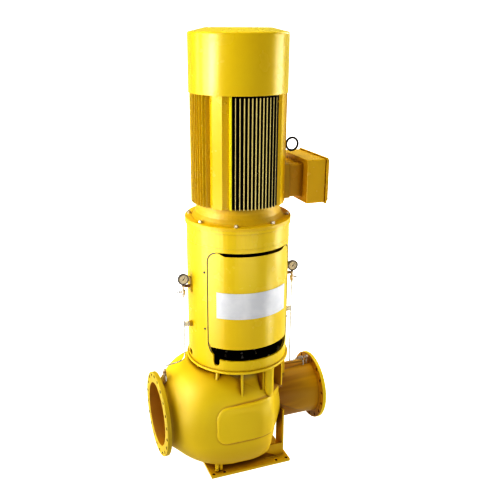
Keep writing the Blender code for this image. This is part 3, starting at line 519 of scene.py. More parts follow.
COWL = enamel("enamel_on_cowl", 0.0, 0.002, tone=(0.88, 0.9, 0.88), layers=(
    # Painted shade darkens the cowl's top face
    (ramp("Z", COWL_TOP_Z - 0.03, COWL_TOP_Z - 0.022), (0.66, 0.52, 0.01)),))
# Near-black painted shade inside the lantern
TUBE = enamel("enamel_on_lantern", 0.0, FINE_EDGE, layers=(
    (inside_radius(COVER_SEAT + 0.0002), DARK_PAINTED_SHADE),))
# Near-black painted shade on the guards' inner faces
GUARD = enamel("enamel_on_guard", 0.0, FINE_EDGE, layers=((inside_radius(0.3885), DARK_PAINTED_SHADE),))
FINS = enamel("enamel_on_fins", 0.0, 0.001, tone=(0.98, 0.93, 0.8), reach=0.002, layers=(
    # Painted highlight on the fin tips, and near-black painted shade in the gaps
    (AMONG_FINS, (0.92, 0.78, 0.32)), (BETWEEN_FINS, DARK_PAINTED_SHADE),
    # Painted shade on the suction side's fin tips; its gaps keep a colour near the paint's
    (both(AMONG_FINS, SUCTION_SIDE), (0.66, 0.45, 0.012)),
    (both(BETWEEN_FINS, SUCTION_SIDE), (0.8, 0.56, 0.016)),
    # Painted shade on the front wall of the suction side's last fin
    (both(SUCTION_SIDE, within("Y", -0.1705, -0.156)), (0.56, 0.38, 0.008)),
    # Painted shade on the frame where the terminal box's neck sits
    (BOX_SEAT, (0.62, 0.39, 0.005)),
    # A painted shade line in one gap of the suction side's fins
    (both(SUCTION_SIDE, within("Y", -0.1715, -0.169), within("X", -0.3275, -0.319)),
     (0.26, 0.14, 0.003)),
    # Painted highlight on a narrow front-left corner strip, and painted shade on the flat beside
    # it
    (corner_strip(-1.0, 0.1585, 0.171), (0.97, 0.88, 0.025)),
    (corner_strip(-1.0, 0.171, 0.222), (0.74, 0.5, 0.006)),
    # Near-black painted shade on a front-right corner strip, and painted shade on the flat beyond
    # it
    (corner_strip(1.0, 0.17, 0.195), DARK_PAINTED_SHADE),
    (corner_strip(1.0, 0.248, 0.4), (0.72, 0.45, 0.005))))
BELL = enamel("enamel_on_bell", 0.04, 0.0015, (0.38, 0.46), (0.95, 0.9, 0.8), reach=0.08)
BOX = enamel("enamel_on_box", 0.06, 0.0015, tone=(0.9, 0.77, 0.6), reach=0.03)
# A darker copy of the box's paint: painted shade on the box's neck and its flanges
BOX_NECK = enamel("enamel_on_box_neck_painted_shade", 0.06, 0.0015, tone=(0.72, 0.58, 0.4))
# Dark orange painted shade inside the bores
BORE_PAINTED_SHADE = enamel("painted_shade_in_bore", 0.08, 0.003, (0.4, 0.5), layers=(
    (EVERYWHERE, (0.47, 0.24, 0.005)),))
CAST = enamel("enamel_on_casting", 0.1, 0.002, (0.33, 0.4), reach=0.045, layers=(
    (RING_PAINTED_SHADOW, (0.08, 0.032, 0.001)),
    # Painted shade on the left faces of two ribs beside the boss
    (both(within("X", 0.18, 0.3), within("Y", -0.31, -0.2), RIB_HEIGHT,
          inside_radius(0.385)), (0.4, 0.21, 0.003)),
    (both(within("X", 0.06, 0.105), within("Y", -0.36, -0.255), RIB_HEIGHT,
          inside_radius(0.35)), (0.52, 0.3, 0.004))))
VOLUTE = enamel("enamel_on_volute", 0.14, 0.002, (0.46, 0.53), reach=0.05, layers=(
    # Painted shadow on the casing next to the suction flange
    (ramp("X", -0.55, -0.6), (0.62, 0.45, 0.008)),
    # Painted shadow on the casing's top under the cover's ring
    (both(ramp("Z", 0.866, 0.892), inside_radius(0.372)), (0.16, 0.07, 0.002)),
    # Darker towards the bottom; the painted shadow line round the pad
    (ramp("Z", 0.34, 0.16), (0.74, 0.5, 0.008)), (PAD_EDGE_PAINTED_SHADOW, (0.5, 0.23, 0.003)),
    # Painted shade on the discharge neck, lighter towards its flange and darkest underneath
    (ramp("X", 0.268, 0.3), NECK_PAINTED_SHADE), (ramp("X", 0.4, 0.62), NECK_LIGHTER_PAINTED_SHADE),
    (both(ramp("X", 0.3, 0.32), ramp("Z", 0.4, 0.27)), (0.34, 0.17, 0.003)),
    # Plain paint again on the flange's rim, past the neck's painted shade
    (ramp("X", 0.6555, 0.6565), ENAMEL)))
PAD = enamel("enamel_on_pad", 0.12, 0.0015, (0.38, 0.44), reach=0.022, layers=(
    # Painted light brightens the pad's left part
    (ramp("X", 0.02, -0.2), (0.97, 0.725, 0.014)),))
PLATE_WORK = enamel("enamel_on_plate", 0.05, 0.002, (0.28, 0.36), (0.9, 0.85, 0.8))
# Near-black painted shade in the baseplate's anchor holes
BASE = enamel("enamel_on_base", 0.05, 0.002, (0.28, 0.36), (0.9, 0.85, 0.8), (
    (round_holes(((0.225, 0.317), (0.315, 0.317)), 0.011), DARK_PAINTED_SHADE),))
# Painted shade on the neck barrel, lighter towards the flange and darkest underneath, with painted
# highlight streaks
NECK = enamel("enamel_on_neck", 0.12, 0.002, (0.34, 0.42), reach=0.03, layers=(
    (ramp("X", 0.27, 0.275), NECK_PAINTED_SHADE), (ramp("X", 0.31, 0.6), (0.62, 0.36, 0.005)),
    (neck_highlight_streaks, (0.8, 0.5, 0.008)), (ramp("Z", 0.42, 0.27), (0.4, 0.21, 0.003))))
# Painted shade round the edge of the neck barrel
NECK_BARREL_EDGE_SHADE = enamel("painted_shade_round_neck_barrel", 0.12, 0.002, (0.4, 0.5), (0.36, 0.28, 0.4),
                   reach=0.03)
BRACKET = enamel("enamel_on_bracket", 0.0, 0.001, (0.28, 0.36), (0.82, 0.8, 0.8), (
    (beyond(0.4045), (0.26, 0.115, 0.02)),))
CLAMP = enamel("enamel_on_clamp", 0.0, 0.001, (0.28, 0.36), (0.85, 0.8, 0.8), (
    (beyond(0.412), (0.86, 0.84, 0.79)),))
STEEL = metal("bright_steel", (0.62, 0.61, 0.58), (0.5, 0.48, 0.45), (0.2, 0.34))
BRIGHT_NUT = metal("zinc_nut", (0.93, 0.92, 0.9), (0.8, 0.77, 0.72), (0.15, 0.28), 0.15)
BOLT = metal("plated_bolt", (0.8, 0.76, 0.68), (0.55, 0.48, 0.38), (0.18, 0.34), 0.55)
SHAFT = metal("dark_shaft_steel", (0.1, 0.09, 0.08), (0.05, 0.045, 0.04), (0.35, 0.55))
BRONZE = metal("nickelled_bronze", (0.84, 0.77, 0.68), (0.4, 0.27, 0.17), (0.2, 0.34), 0.45)
BLACK = metal("blackened_steel", (0.035, 0.033, 0.03), (0.07, 0.065, 0.06), (0.35, 0.5), 0.5)
CASE = metal("gauge_case_steel", (0.2, 0.175, 0.15), (0.11, 0.1, 0.09), (0.25, 0.4), 0.7)
# Near-black painted shade on surfaces inside hollows
SHADE_IN_HOLLOWS = plain("painted_shade_in_hollows", DARK_PAINTED_SHADE, (0.04, 0.018, 0.006), (0.6, 0.8), 14.0, 50.0)
DIAL = plain("gauge_dial", (0.92, 0.83, 0.68), (0.84, 0.75, 0.6), (0.35, 0.47), 40.0, 120.0)
INK = plain("gauge_print", (0.02, 0.02, 0.02), (0.04, 0.04, 0.04), (0.5, 0.62), 60.0, 180.0)
# A near-black strip that stands for the shade in the joints beside the windows
JOINT_SHADE_STRIP = plain("painted_shade_strip", (0.03, 0.025, 0.02), (0.05, 0.04, 0.03), (0.7, 0.82), 80.0, 240.0)
SILVER = make_plate_finish()


# Mesh helpers

def along(start, direction):
    """A matrix whose Z axis runs along a direction from a point."""
    turn = Vector(UP).rotation_difference(Vector(direction))
    return Matrix.Translation(Vector(start)) @ turn.to_matrix().to_4x4()


def about_z(degrees):
    """A turn about the pump's axis."""
    return Matrix.Rotation(radians(degrees), 4, "Z")


def turns(count):
    """Angles spaced evenly round a circle."""
    return [2.0 * pi * i / count for i in range(count)]


def add_band(data, before, after):
    """Faces between two rings of points; a ring may be one point or hold one twice."""
    steps = max(len(before), len(after))
    made = []
    for i in range(steps):
        j = (i + 1) % steps
        corners = []
        for ring, k in ((before, i), (before, j), (after, j), (after, i)):
            vertex = ring[k % len(ring)]
            if vertex not in corners:
                corners.append(vertex)
        if len(corners) > 2:
            made.append(data.faces.new(corners))
    return made


def add_loft(data, rings, caps=False, closed=False):
    """Skin rings of points in turn, with end faces or back to the first where asked."""
    loops = [[data.verts.new(point) for point in ring] for ring in rings]
    for before, after in zip(loops, loops[1:] + loops[:1] if closed else loops[1:]):
        add_band(data, before, after)
    if caps:
        data.faces.new(loops[0])
        data.faces.new(loops[-1])
    return loops


def add_lathe(data, profile, steps, place=Matrix()):
    """Turn (radius, height) points round Z; a profile off the axis closes on itself."""
    rings = [[place @ Vector((radius * cos(turn), radius * sin(turn), height))
              for turn in (turns(steps) if radius > 0.0 else (0.0,))]
             for radius, height in profile]
    add_loft(data, rings, closed=profile[0][0] > 0.0 and profile[-1][0] > 0.0)


def add_box(data, low, high, bevel):
    """A box between two corners, with rounded edges."""
    low, high = Vector(low), Vector(high)
    place = Matrix.Translation((low + high) / 2.0) @ Matrix.Diagonal((*(high - low), 1.0))
    made = bmesh.ops.create_cube(data, size=1.0, matrix=place)
    edges = {edge for vertex in made["verts"] for edge in vertex.link_edges}
    bmesh.ops.bevel(data, geom=list(edges), offset=bevel, segments=2, affect="EDGES",
                    profile=0.5)


def add_bead(data, points, radius, lumps):
    """A weld bead through points, with a lumpy radius and thin ends."""
    last = len(points) - 1
    rings = []
    side = Vector((0.31, 0.17, 0.93)).normalized()
    for i, point in enumerate(points):
        ahead = (points[min(i + 1, last)] - points[max(i - 1, 0)]).normalized()
        side = (side - ahead * side.dot(ahead)).normalized()
        other = ahead.cross(side)
        size = radius * (1.0 + lumps * sin(i * 2.1)) * (0.5 if i in (0, last) else 1.0)
        rings.append([point + side * size * cos(turn) + other * size * sin(turn)
                      for turn in turns(8)])
    add_loft(data, rings, caps=True)


def add_straight_bead(data, start, end, radius=0.0045):
    """A weld bead along a straight joint."""
    start, end = Vector(start), Vector(end)
    count = max(3, int((end - start).length / 0.004))
    add_bead(data, [start.lerp(end, i / count) for i in range(count + 1)], radius, 0.12)


def add_bolt(data, place, flats, height, washer, stud=0.0):
    """A hexagon head or nut on its washer, and the end of a stud where asked."""
    foot = washer * 0.12
    add_lathe(data, ((0.0, 0.0), (washer, 0.0), (washer, foot * 0.8),
                     (washer - foot * 0.2, foot), (0.0, foot)), 24, place)
    corner = flats / math.sqrt(3.0)
    top = foot + height
    add_lathe(data, ((0.0, foot), (corner, foot), (corner, top - flats * 0.07),
                     (corner * 0.86, top), (0.0, top)), 6, place)
    if stud:
        size = flats * 0.32
        add_lathe(data, ((0.0, top - 0.001), (size, top - 0.001), (size, top + stud - 0.001),
                         (size * 0.8, top + stud), (0.0, top + stud)), 14, place)


def add_screw(data, place, radius, height):
    """A domed screw head with its slot's rim."""
    add_lathe(data, ((0.0, 0.0), (radius, 0.0), (radius, height * 0.45),
                     (radius * 0.85, height * 0.8), (radius * 0.5, height), (0.0, height)),
              20, place)


def mesh_object(name, data):
    """An object of mesh data, with its faces turned outwards."""
    bmesh.ops.recalc_face_normals(data, faces=data.faces)
    mesh = bpy.data.meshes.new(name)
    data.to_mesh(mesh)
    data.free()
    return add_object(name, mesh)


def evaluated_mesh(item):
    """A new mesh of an object after its modifiers."""
    bpy.context.view_layer.update()
    graph = bpy.context.evaluated_depsgraph_get()
    return bpy.data.meshes.new_from_object(item.evaluated_get(graph))


def finished(name, data, material, body="pump"):
    """Turn mesh data into a shaded piece that rides on a body."""
    piece = mesh_object(name, data)
    piece.data.shade_smooth()
    piece.data.set_sharp_from_angle(angle=SHARP_ANGLE)
    piece.data.materials.append(material)
    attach(piece, body)
    return piece


# Casing and its cover

def smooth_between(rows, steps):
    """Rows on the smooth curves through the given ones (Catmull-Rom)."""
    made = []
    last = len(rows) - 1
    for i in range(last):
        ends = [rows[max(0, min(last, i + k))] for k in (-1, 0, 1, 2)]
        for t in (step / steps for step in range(steps)):
            made.append([0.5 * (2.0 * b + (c - a) * t + (2.0 * a - 5.0 * b + 4.0 * c - d) * t * t
                                + (3.0 * b - a - 3.0 * c + d) * t ** 3)
                         for a, b, c, d in zip(*ends)])
    return made + [rows[-1]]


def look_up(keys, rows, key):
    """The row that belongs to a key, in a straight line between the two nearest."""
    k = max(1, min(len(keys) - 1, bisect.bisect_left(keys, key)))
    part = (key - keys[k - 1]) / max(1e-9, keys[k] - keys[k - 1])
    part = max(0.0, min(1.0, part))
    return [a + (b - a) * part for a, b in zip(rows[k - 1], rows[k])]


def path_lengths(points):
    """The length of a path up to each of its points."""
    return [0.0, *itertools.accumulate(map(math.dist, points, points[1:]))]


DENSE_SECTIONS = smooth_between(SECTIONS, 24)
DENSE_X = [row[0] for row in DENSE_SECTIONS]
DENSE_HUB = smooth_between(HUB_PROFILE, 8)
RISING_HUB = DENSE_HUB[::-1]
RISING_Z = [height for _, height in RISING_HUB]


def section_at(x):
    """The casing's cross-section at a place along X."""
    return look_up(DENSE_X, DENSE_SECTIONS, x)


def section_ring(x):
    """Evenly spaced points round the casing's cross-section."""
    _, half_width, up, down, upper, lower = section_at(x)
    points = []
    for turn in turns(720) + [2.0 * pi]:
        across, above = cos(turn), sin(turn)
        power, height = (upper, up) if above > 0.0 else (lower, down)
        points.append([math.copysign(abs(part) ** (2.0 / power), part) * (size - SECTION_INSET)
                       for part, size in ((across, half_width), (above, height))])
    lengths = path_lengths(points)
    spots = [look_up(lengths, points, lengths[-1] * i / STEPS) for i in range(STEPS)]
    return [Vector((x, y, PIPE_Z + z)) for y, z in spots]


def front_point(x, z, swell):
    """The point of the casing's front at a place and height, standing proud by swell."""
    _, half_width, up, down, upper, lower = section_at(x)
    power, height = (upper, up) if z > PIPE_Z else (lower, down)
    share = min(1.0, abs(z - PIPE_Z) / (height + swell))
    return Vector((x, -(half_width + swell) * (1.0 - share ** power) ** (1.0 / power), z))


def casing_top(x, y):
    """Height of the casing's upper surface over a point of the floor."""
    _, half_width, up, _, upper, _ = section_at(x)
    share = min(1.0, abs(y) / half_width)
    return PIPE_Z + up * (1.0 - share ** upper) ** (1.0 / upper)


def circle_ring(x, radius):
    """A ring of points round the pipe axis."""
    return [Vector((x, radius * cos(turn), PIPE_Z + radius * sin(turn)))
            for turn in turns(STEPS)]


def flange_rings(flange):
    """Rings from the passage's end out to the neck: dome, bore, face, rim and back."""
    bore, neck, outside, back = flange.bore, flange.neck, flange.outside, flange.thickness
    crown = bore * 0.6
    start = flange.depth - crown
    # depth behind the face, radius
    rows = [(start + crown * cos(turn), bore * sin(turn)) for turn in turns(40)[:10]]
    rows += [(start, bore), (flange.depth * 0.4, bore), (0.004, bore), (0.001, bore + 0.001),
             (0.0, bore + 0.004), (0.0, (bore + outside) / 2.0), (0.0, outside - 0.0025),
             (0.0025, outside), (back - 0.0025, outside), (back, outside - 0.0025),
             (back, neck + 0.02), (back + 0.002, neck + 0.012), (back + 0.006, neck + 0.005),
             (back + 0.012, neck + 0.001)]
    rings = [circle_ring(flange.side * (FACE_X - depth), radius) for depth, radius in rows]
    return [rings[0][:1], *rings[1:]]


def swell_together(data, gap_at):
    """Let a surface swell softly where its gap to another is within the blend's reach."""
    bmesh.ops.recalc_face_normals(data, faces=data.faces)
    data.normal_update()
    shifts = []
    for vertex in data.verts:
        share = max(0.0, min(1.0, (BLEND - max(0.0, gap_at(*vertex.co))) / BLEND))
        shifts.append(vertex.normal * share * share * BLEND / 4.0)
    for vertex, shift in zip(data.verts, shifts):
        vertex.co += shift


def gap_to_hub(x, y, z):
    """About how far a point of the casing's top is from the cover's hub."""
    if z <= 0.6 or abs(x) >= 0.5:
        return BLEND
    return (hypot(x, y) - look_up(RISING_Z, RISING_HUB, min(z, 0.912))[0]) * 0.8


def gap_to_casing(x, y, z):
    """About how far a point of the cover's hub is from the casing's top."""
    if hypot(x, y) <= 0.2 or z >= 0.9:
        return BLEND
    return (z - casing_top(x, y)) * 0.62


def make_casing():
    """The volute casing with its flanges and their bolt holes."""
    suction, discharge = map(flange_rings, FLANGES)
    body = [section_ring(row[0]) for row in smooth_between(SECTIONS, 7) if -0.636 < row[0] < 0.64]
    data = bmesh.new()
    add_loft(data, suction + body + discharge[::-1])
    swell_together(data, gap_to_hub)
    for vertex in data.verts:
        vertex.co.z = min(vertex.co.z, RING_Z - 0.004)
    casing = finished("casing_casting", data, VOLUTE)
    for flange in FLANGES:
        drill(casing, flange)
    casing.data.materials.append(BORE_PAINTED_SHADE)
    casing.data.materials.append(SHADE_IN_HOLLOWS)
    # Painted shade in the bores and bolt holes: dark orange in the bores and the discharge
    # flange's holes, near-black in the suction flange's holes
    for face in casing.data.polygons:
        reach = hypot(face.center.y, face.center.z - PIPE_Z)
        for flange in FLANGES:
            out = flange.side * face.center.x
            in_hole = abs(face.normal.x) < 0.5 and abs(reach - flange.circle) < BOLT_HOLE + 0.0005
            if out > 0.65 and in_hole:
                face.material_index = 2 if flange is FLANGES[0] else 1
            if 0.28 < out < FACE_X - 0.002 and reach < flange.bore + 0.0005:
                face.material_index = 1
    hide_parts("volute_casing")


def make_foot():
    """The round foot under the casing."""
    data = bmesh.new()
    add_lathe(data, ((0.0, BASE_TOP), (0.168, BASE_TOP), (0.17, BASE_TOP + 0.002),
                     (0.168, 0.06), (0.174, 0.1), (0.0, 0.13)), 72,
              Matrix.Translation(FOOT_PLACE))
    finished("casing_foot", data, CAST)


def drill(piece, flange):
    """Drill the bolt holes of a pipe flange."""
    depth = flange.thickness + 0.0112
    data = bmesh.new()
    for turn in turns(flange.holes):
        turn += pi / flange.holes
        spot = (flange.side * (FACE_X + 0.01), flange.circle * sin(turn),
                PIPE_Z + flange.circle * cos(turn))
        add_lathe(data, ((0.0, 0.0), (BOLT_HOLE, 0.0), (BOLT_HOLE, depth), (0.0, depth)), 20,
                  along(spot, (-flange.side, 0.0, 0.0)))
    holes = mesh_object("holes", data)
    step = piece.modifiers.new("holes", "BOOLEAN")
    step.operation = "DIFFERENCE"
    step.solver = "EXACT"
    step.object = holes
    drilled = evaluated_mesh(piece)
    piece.modifiers.clear()
    piece.data = drilled
    drilled.set_sharp_from_angle(angle=SHARP_ANGLE)
    bpy.data.objects.remove(holes, do_unlink=True)


def make_neck_shells():
    """The raised barrel on the front and back of the discharge neck, a thin curved shell."""
    neck, inner, rise = FLANGES[1].neck, 0.211, 0.007
    shares = [(1.0, -0.0012), (0.985, 0.0022), (0.965, 0.0046), (0.935, 0.0062)]
    shares += [(0.9 - 0.15 * i, rise) for i in range(6)]
    shares += [(0.0, rise)] + [(-share, height) for share, height in reversed(shares)]
    rows = len(shares)
    data = bmesh.new()
    for side in SIDES:
        rings = []
        for part in (i / 32.0 for i in range(33)):
            head = radians(86.0 - 26.0 * (1.0 - part) ** 3)
            foot = radians(4.5 - 63.8 * part)
            skin = [((head + foot) / 2.0 + (head - foot) / 2.0 * share, neck + height)
                    for share, height in shares]
            skin += [(angle, inner) for angle, _ in reversed(skin)]
            rings.append([(0.27 + 0.387 * part, side * radius * cos(angle),
                           PIPE_Z + radius * sin(angle)) for angle, radius in skin])
        loops = [[data.verts.new(point) for point in ring] for ring in rings]
        for before, after in zip(loops, loops[1:]):
            for i, face in enumerate(add_band(data, before, after)):
                # The barrel's edge rows take the painted shade
                if 0 <= min(i % rows, rows - 2 - i % rows) < 3:
                    face.material_index = 1
        for loop in (loops[0], loops[-1]):
            for k in range(rows - 1):
                data.faces.new((loop[k], loop[k + 1], loop[-2 - k], loop[-1 - k]))
    finished("neck_barrel", data, NECK).data.materials.append(NECK_BARREL_EDGE_SHADE)


def pad_outline(wide, tall, bend):
    """Points of a rounded rectangle with many points on its straight sides."""
    arcs = []
    for across, up, start in ((1.0, 1.0, 0.0), (-1.0, 1.0, 90.0), (-1.0, -1.0, 180.0),
                              (1.0, -1.0, 270.0)):
        centre = Vector((across * (wide - bend), up * (tall - bend)))
        angles = [radians(start + 7.5 * i) for i in range(13)]
        arcs.append([centre + bend * Vector((cos(angle), sin(angle)))
                     for angle in angles])
    outline = []
    for arc, ahead, count in zip(arcs, arcs[1:] + arcs[:1], (28, 9, 28, 9)):
        outline += arc + [arc[-1].lerp(ahead[0], i / count) for i in range(1, count)]
    return outline


def make_pad():
    """The raised pad on the casing's front: rounded rings laid on the casing's form."""
    foot, head = PAD_Z
    middle = (foot + head) / 2.0
    xs = [PAD_START - 0.03 + (PAD_END - PAD_START + 0.05) * i / 400.0 for i in range(401)]
    lengths = path_lengths([front_point(x, middle, 0.0) for x in xs])
    start, end = (lengths[bisect.bisect_left(xs, x)] for x in (PAD_START, PAD_END))
    half_wide, half_tall = (end - start) / 2.0, (head - foot) / 2.0

    def laid(u, v, swell):
        """A point on the casing, with the pad's rise for its swell where that isn't None.

        The rise is full but for where the casing is widest, so the pad's face is flatter.
        """
        x = look_up(lengths, list(zip(xs)), (start + end) / 2.0 + u)[0]
        if swell is None:
            return front_point(x, middle + v, -0.01)
        room = PAD_LIMIT + front_point(x, middle + v, 0.0).y
        full = 0.009 + 0.008 * max(0.0, min(1.0, (x - PAD_START) / 0.22))
        return front_point(x, middle + v, swell / PAD_RISE * max(0.0076, min(full, room)))

    def outline(offset):
        """The pad's outline, grown by an offset."""
        wide, tall = half_wide + offset, half_tall + offset
        return pad_outline(wide, tall, max(0.006, min(PAD_CORNER + offset, tall - 0.001)))

    rows = [(0.007, -0.0012), (0.0045, 0.001), (0.002, 0.0034), (-0.0005, 0.0053),
            (-0.0035, 0.0066), (-0.0075, 0.0073), (-0.013, 0.0076)]
    rows += [(offset, PAD_RISE) for offset in (-0.02, -0.035, -0.05, -0.066, -0.082, -0.098,
                                               -0.114, -0.13, -0.144)]
    data = bmesh.new()
    loops = add_loft(data, [[laid(u, v, swell) for u, v in outline(offset)]
                            for offset, swell in rows])
    spots = {}
    spine = []
    for u, _ in pad_outline(max(u for u, _ in outline(-0.144)) - 0.006, 0.0, 0.0):
        if round(u, 4) not in spots:
            spots[round(u, 4)] = data.verts.new(laid(u, 0.0, PAD_RISE))
        spine.append(spots[round(u, 4)])
    add_band(data, loops[-1], spine)
    inner = [data.verts.new(laid(u, v, None)) for u, v in outline(0.007)]
    add_band(data, loops[0], inner)
    data.faces.new(inner)
    bmesh.ops.triangulate(data, faces=[face for face in data.faces if len(face.verts) > 4])
    finished("casing_pad", data, PAD)


def make_cover():
    """The casing cover: ring flange, flared hub, ribs and boss."""
    data = bmesh.new()
    hub = [(radius, height) for radius, height in DENSE_HUB if height > 0.655]
    add_lathe(data, [(0.0, 0.905), (0.336, 0.9135), *hub[1:], (0.0, 0.66)], STEPS)
    swell_together(data, gap_to_casing)
    low, high, edge = RING_Z, RING_TOP_Z, COVER_RADIUS
    add_lathe(data, ((0.0, low), (edge - 0.0035, low), (edge - 0.001, low + 0.001),
                     (edge, low + 0.0035), (edge, high - 0.0035), (edge - 0.001, high - 0.001),
                     (edge - 0.0035, high), (COVER_SEAT, high), (0.0, high)), STEPS)
    for i in range(12):
        add_rib(data, 15.0 + 30.0 * i, 0.354 if i == 9 else 0.39)
    boss = mm((0, 645), (16, 648), (24, 658), (31.5, 670), (37, 684), (39.5, 698), (40, 712),
              (40, 885), (42.5, 900), (47, 912.5), (0, 914))
    add_lathe(data, boss, 40, Matrix.Translation(polar(radians(22.5), 0.358, 0.0)))
    cover = finished("cover_casting", data, CAST)
    cover.data.materials.append(SHADE_IN_HOLLOWS)
    # Near-black painted shade on the cover's top inside the lantern
    for face in cover.data.polygons:
        on_top = face.center.z > RING_TOP_Z - 0.0001 and face.normal.z > 0.9
        if on_top and hypot(face.center.x, face.center.y) < COVER_SEAT:
            face.material_index = 1
    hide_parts("casing_cover")


def add_rib(data, degrees, radius):
    """A rib under the ring flange, flared at its head like a cast rib."""
    rows = mm((0, 23), (8, 16.5), (18, 12.5), (32, 9.8), (60, 9), (223, 8.5))
    profile = [(drop, -half) for drop, half in rows] + list(reversed(rows))
    rings = []
    for inward, squeeze in ((0.0, 0.75), (0.0015, 0.95), (0.004, 1.0), (0.15, 1.0)):
        rings.append([about_z(degrees) @ Vector((
            radius - inward - 0.016 * max(0.0, 1.0 - drop / 0.048), across * squeeze,
            RING_Z + 0.002 - drop)) for drop, across in profile])
    add_loft(data, rings, caps=True)


# Bolts, screws, welds and fittings

def make_nuts():
    """The motor flange's bolts and the studs inside the lantern's foot."""
    motor_bolt, stud_nut = (0.026, 0.016, 0.017), (0.032, 0.022, 0.021, 0.018)
    for name, count, start, radius, height, turn, sizes, finish in (
            ("motor_flange_bolts", 8, 112.5, 0.37, SHIELD_TOP_Z, 17.0, motor_bolt, BOLT),
            ("lantern_foot_nuts", 12, 25.0, 0.34, 0.9548, 23.0, stud_nut, BRIGHT_NUT),
            ("seal_housing_nuts", 8, -52.8, 0.16, 0.9325, 23.0, stud_nut, BRIGHT_NUT)):
        data = bmesh.new()
        for i in range(count):
            spot = polar(radians(start + 360.0 * i / count), radius, height)
            add_bolt(data, Matrix.Translation(spot) @ about_z(turn * i), *sizes)
        finished(name, data, finish)


def add_window_strips(data, rings_at):
    """Strips at both sides of both windows, skinned over (reach, radius, height) points."""
    for middle, side in itertools.product(FRONT_AND_REAR, SIDES):
        rings = [[polar(middle + side * reach / LANTERN_RADIUS, radius, height)
                  for reach, radius, height in ring] for ring in rings_at(side)]
        add_loft(data, rings, caps=True)


def shade_strip_rings(side):
    """The dark shade strip's section along a window's side, from its foot corner to its top
    corner.
    """
    foot, top = WINDOW_Z[0] + WINDOW_FOOT_CORNER, WINDOW_Z[1] - WINDOW_TOP_CORNER
    first = 40.0 if side < 0.0 else 62.0
    path = [(WINDOW_FOOT_CORNER, foot, first * (i / 12.0 - 1.0)) for i in range(13)]
    path += [(0.0, foot + (top - foot) * i / 12.0, 0.0) for i in range(1, 12)]
    path += [(WINDOW_TOP_CORNER, top, 8.0 * i) for i in range(11)]
    section = mm((-0.5, 389), (-0.4, 391.2), (1.2, 391.7), (4.5, 391.7), (6.2, 390.9), (6.4, 389))
    return [[(WINDOW_REACH - bend + (bend - inward) * cos(radians(degrees)), radius,
              centre + (bend - inward) * sin(radians(degrees))) for inward, radius in section]
            for bend, centre, degrees in path]


def lip_rings(_):
    """The lip's four corners in turn, round a window's top corner and along its head."""
    clear, overlap, taper = 0.0025, 0.02, 0.075
    outside, inside = 0.3898, 0.3862
    top = WINDOW_Z[1] - clear
    bend = WINDOW_TOP_CORNER - clear
    start = WINDOW_REACH - WINDOW_TOP_CORNER
    pairs = []
    for turn in (radians(90.0 * i / 14.0) for i in range(15)):
        pairs.append([(start + radius * cos(turn), height - bend + radius * sin(turn))
                      for radius, height in ((bend, top), (bend - overlap, GUARD_TOP))])
    for share in (i / 10.0 for i in range(1, 11)):
        fall = share * share * (3.0 - 2.0 * share) * (top - GUARD_TOP + 0.002)
        reach = start - taper * share
        pairs.append([(reach, top - fall), (reach, GUARD_TOP - overlap)])
    return [[(reach, radius, height) for (reach, height), radius in
             ((outer, outside), (inner, outside), (inner, inside), (outer, inside))]
            for outer, inner in pairs]


def make_window_edges():
    """Dark strips of painted shade over the guards' joints, and the guards' skin in the top
    corners.
    """
    for name, rings_at, finish in (("window_edge_shade_strips", shade_strip_rings, JOINT_SHADE_STRIP),
                                   ("guard_corner_lips", lip_rings, GUARD)):
        data = bmesh.new()
        add_window_strips(data, rings_at)
        finished(name, data, finish)


def make_guard_screws():
    """Screws beside the window that hold the guards, and the cowl's fixing screws."""
    data = bmesh.new()
    for middle, degrees, height in itertools.product(FRONT_AND_REAR, (-59.3, 59.3),
                                                     (1.703, 1.251)):
        angle = middle + radians(degrees)
        place = along(polar(angle, LANTERN_RADIUS, height), polar(angle, 1.0, 0.0))
        add_screw(data, place, 0.0075, 0.005)
    finished("guard_screws", data, BLACK)
    data = bmesh.new()
    for degrees, across in itertools.product((0.0, 90.0, 180.0, 270.0), (-0.1955, 0.1955)):
        place = about_z(degrees) @ along((across, -0.275, COWL_Z - 0.045), FRONT)
        add_screw(data, place, 0.009, 0.005)
    finished("cowl_screws", data, COWL)


def make_cowl():
    """The fan cover, smooth all round, with a rolled lower edge."""
    outside, inside = COWL_RADIUS, COWL_RADIUS - COWL_WALL
    foot, top = COWL_Z, COWL_TOP_Z
    data = bmesh.new()
    add_lathe(data, ((0.0, top), (0.06, top), (0.15, top), (0.233, top), (0.2365, top - 0.0004),
                     (0.29, top - 0.0135), (outside - 0.01, top - 0.027),
                     (outside - 0.0055, top - 0.0286), (outside - 0.0022, top - 0.0315),
                     (outside - 0.0004, top - 0.0358), (outside, top - 0.042),
                     (outside, foot + 0.004), (outside, foot + 0.0008),
                     (outside - 0.0008, foot), (inside + 0.0008, foot),
                     (inside, foot + 0.0008), (inside, foot + 0.0595), (0.0, foot + 0.0595)), 180)
    cowl = finished("cowl_shell", data, COWL)
    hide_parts("fan_cover")


def make_lantern_seam():
    """The ground weld seam round the lantern above the windows."""
    data = bmesh.new()
    add_lathe(data, [(LANTERN_RADIUS + out, 1.9055 + up) for out, up in (
        (-0.003, -0.002), (0.0004, -0.0018), (0.0009, 0.0), (0.0004, 0.0018),
        (-0.003, 0.002))], STEPS)
    finished("lantern_seam", data, CAST)


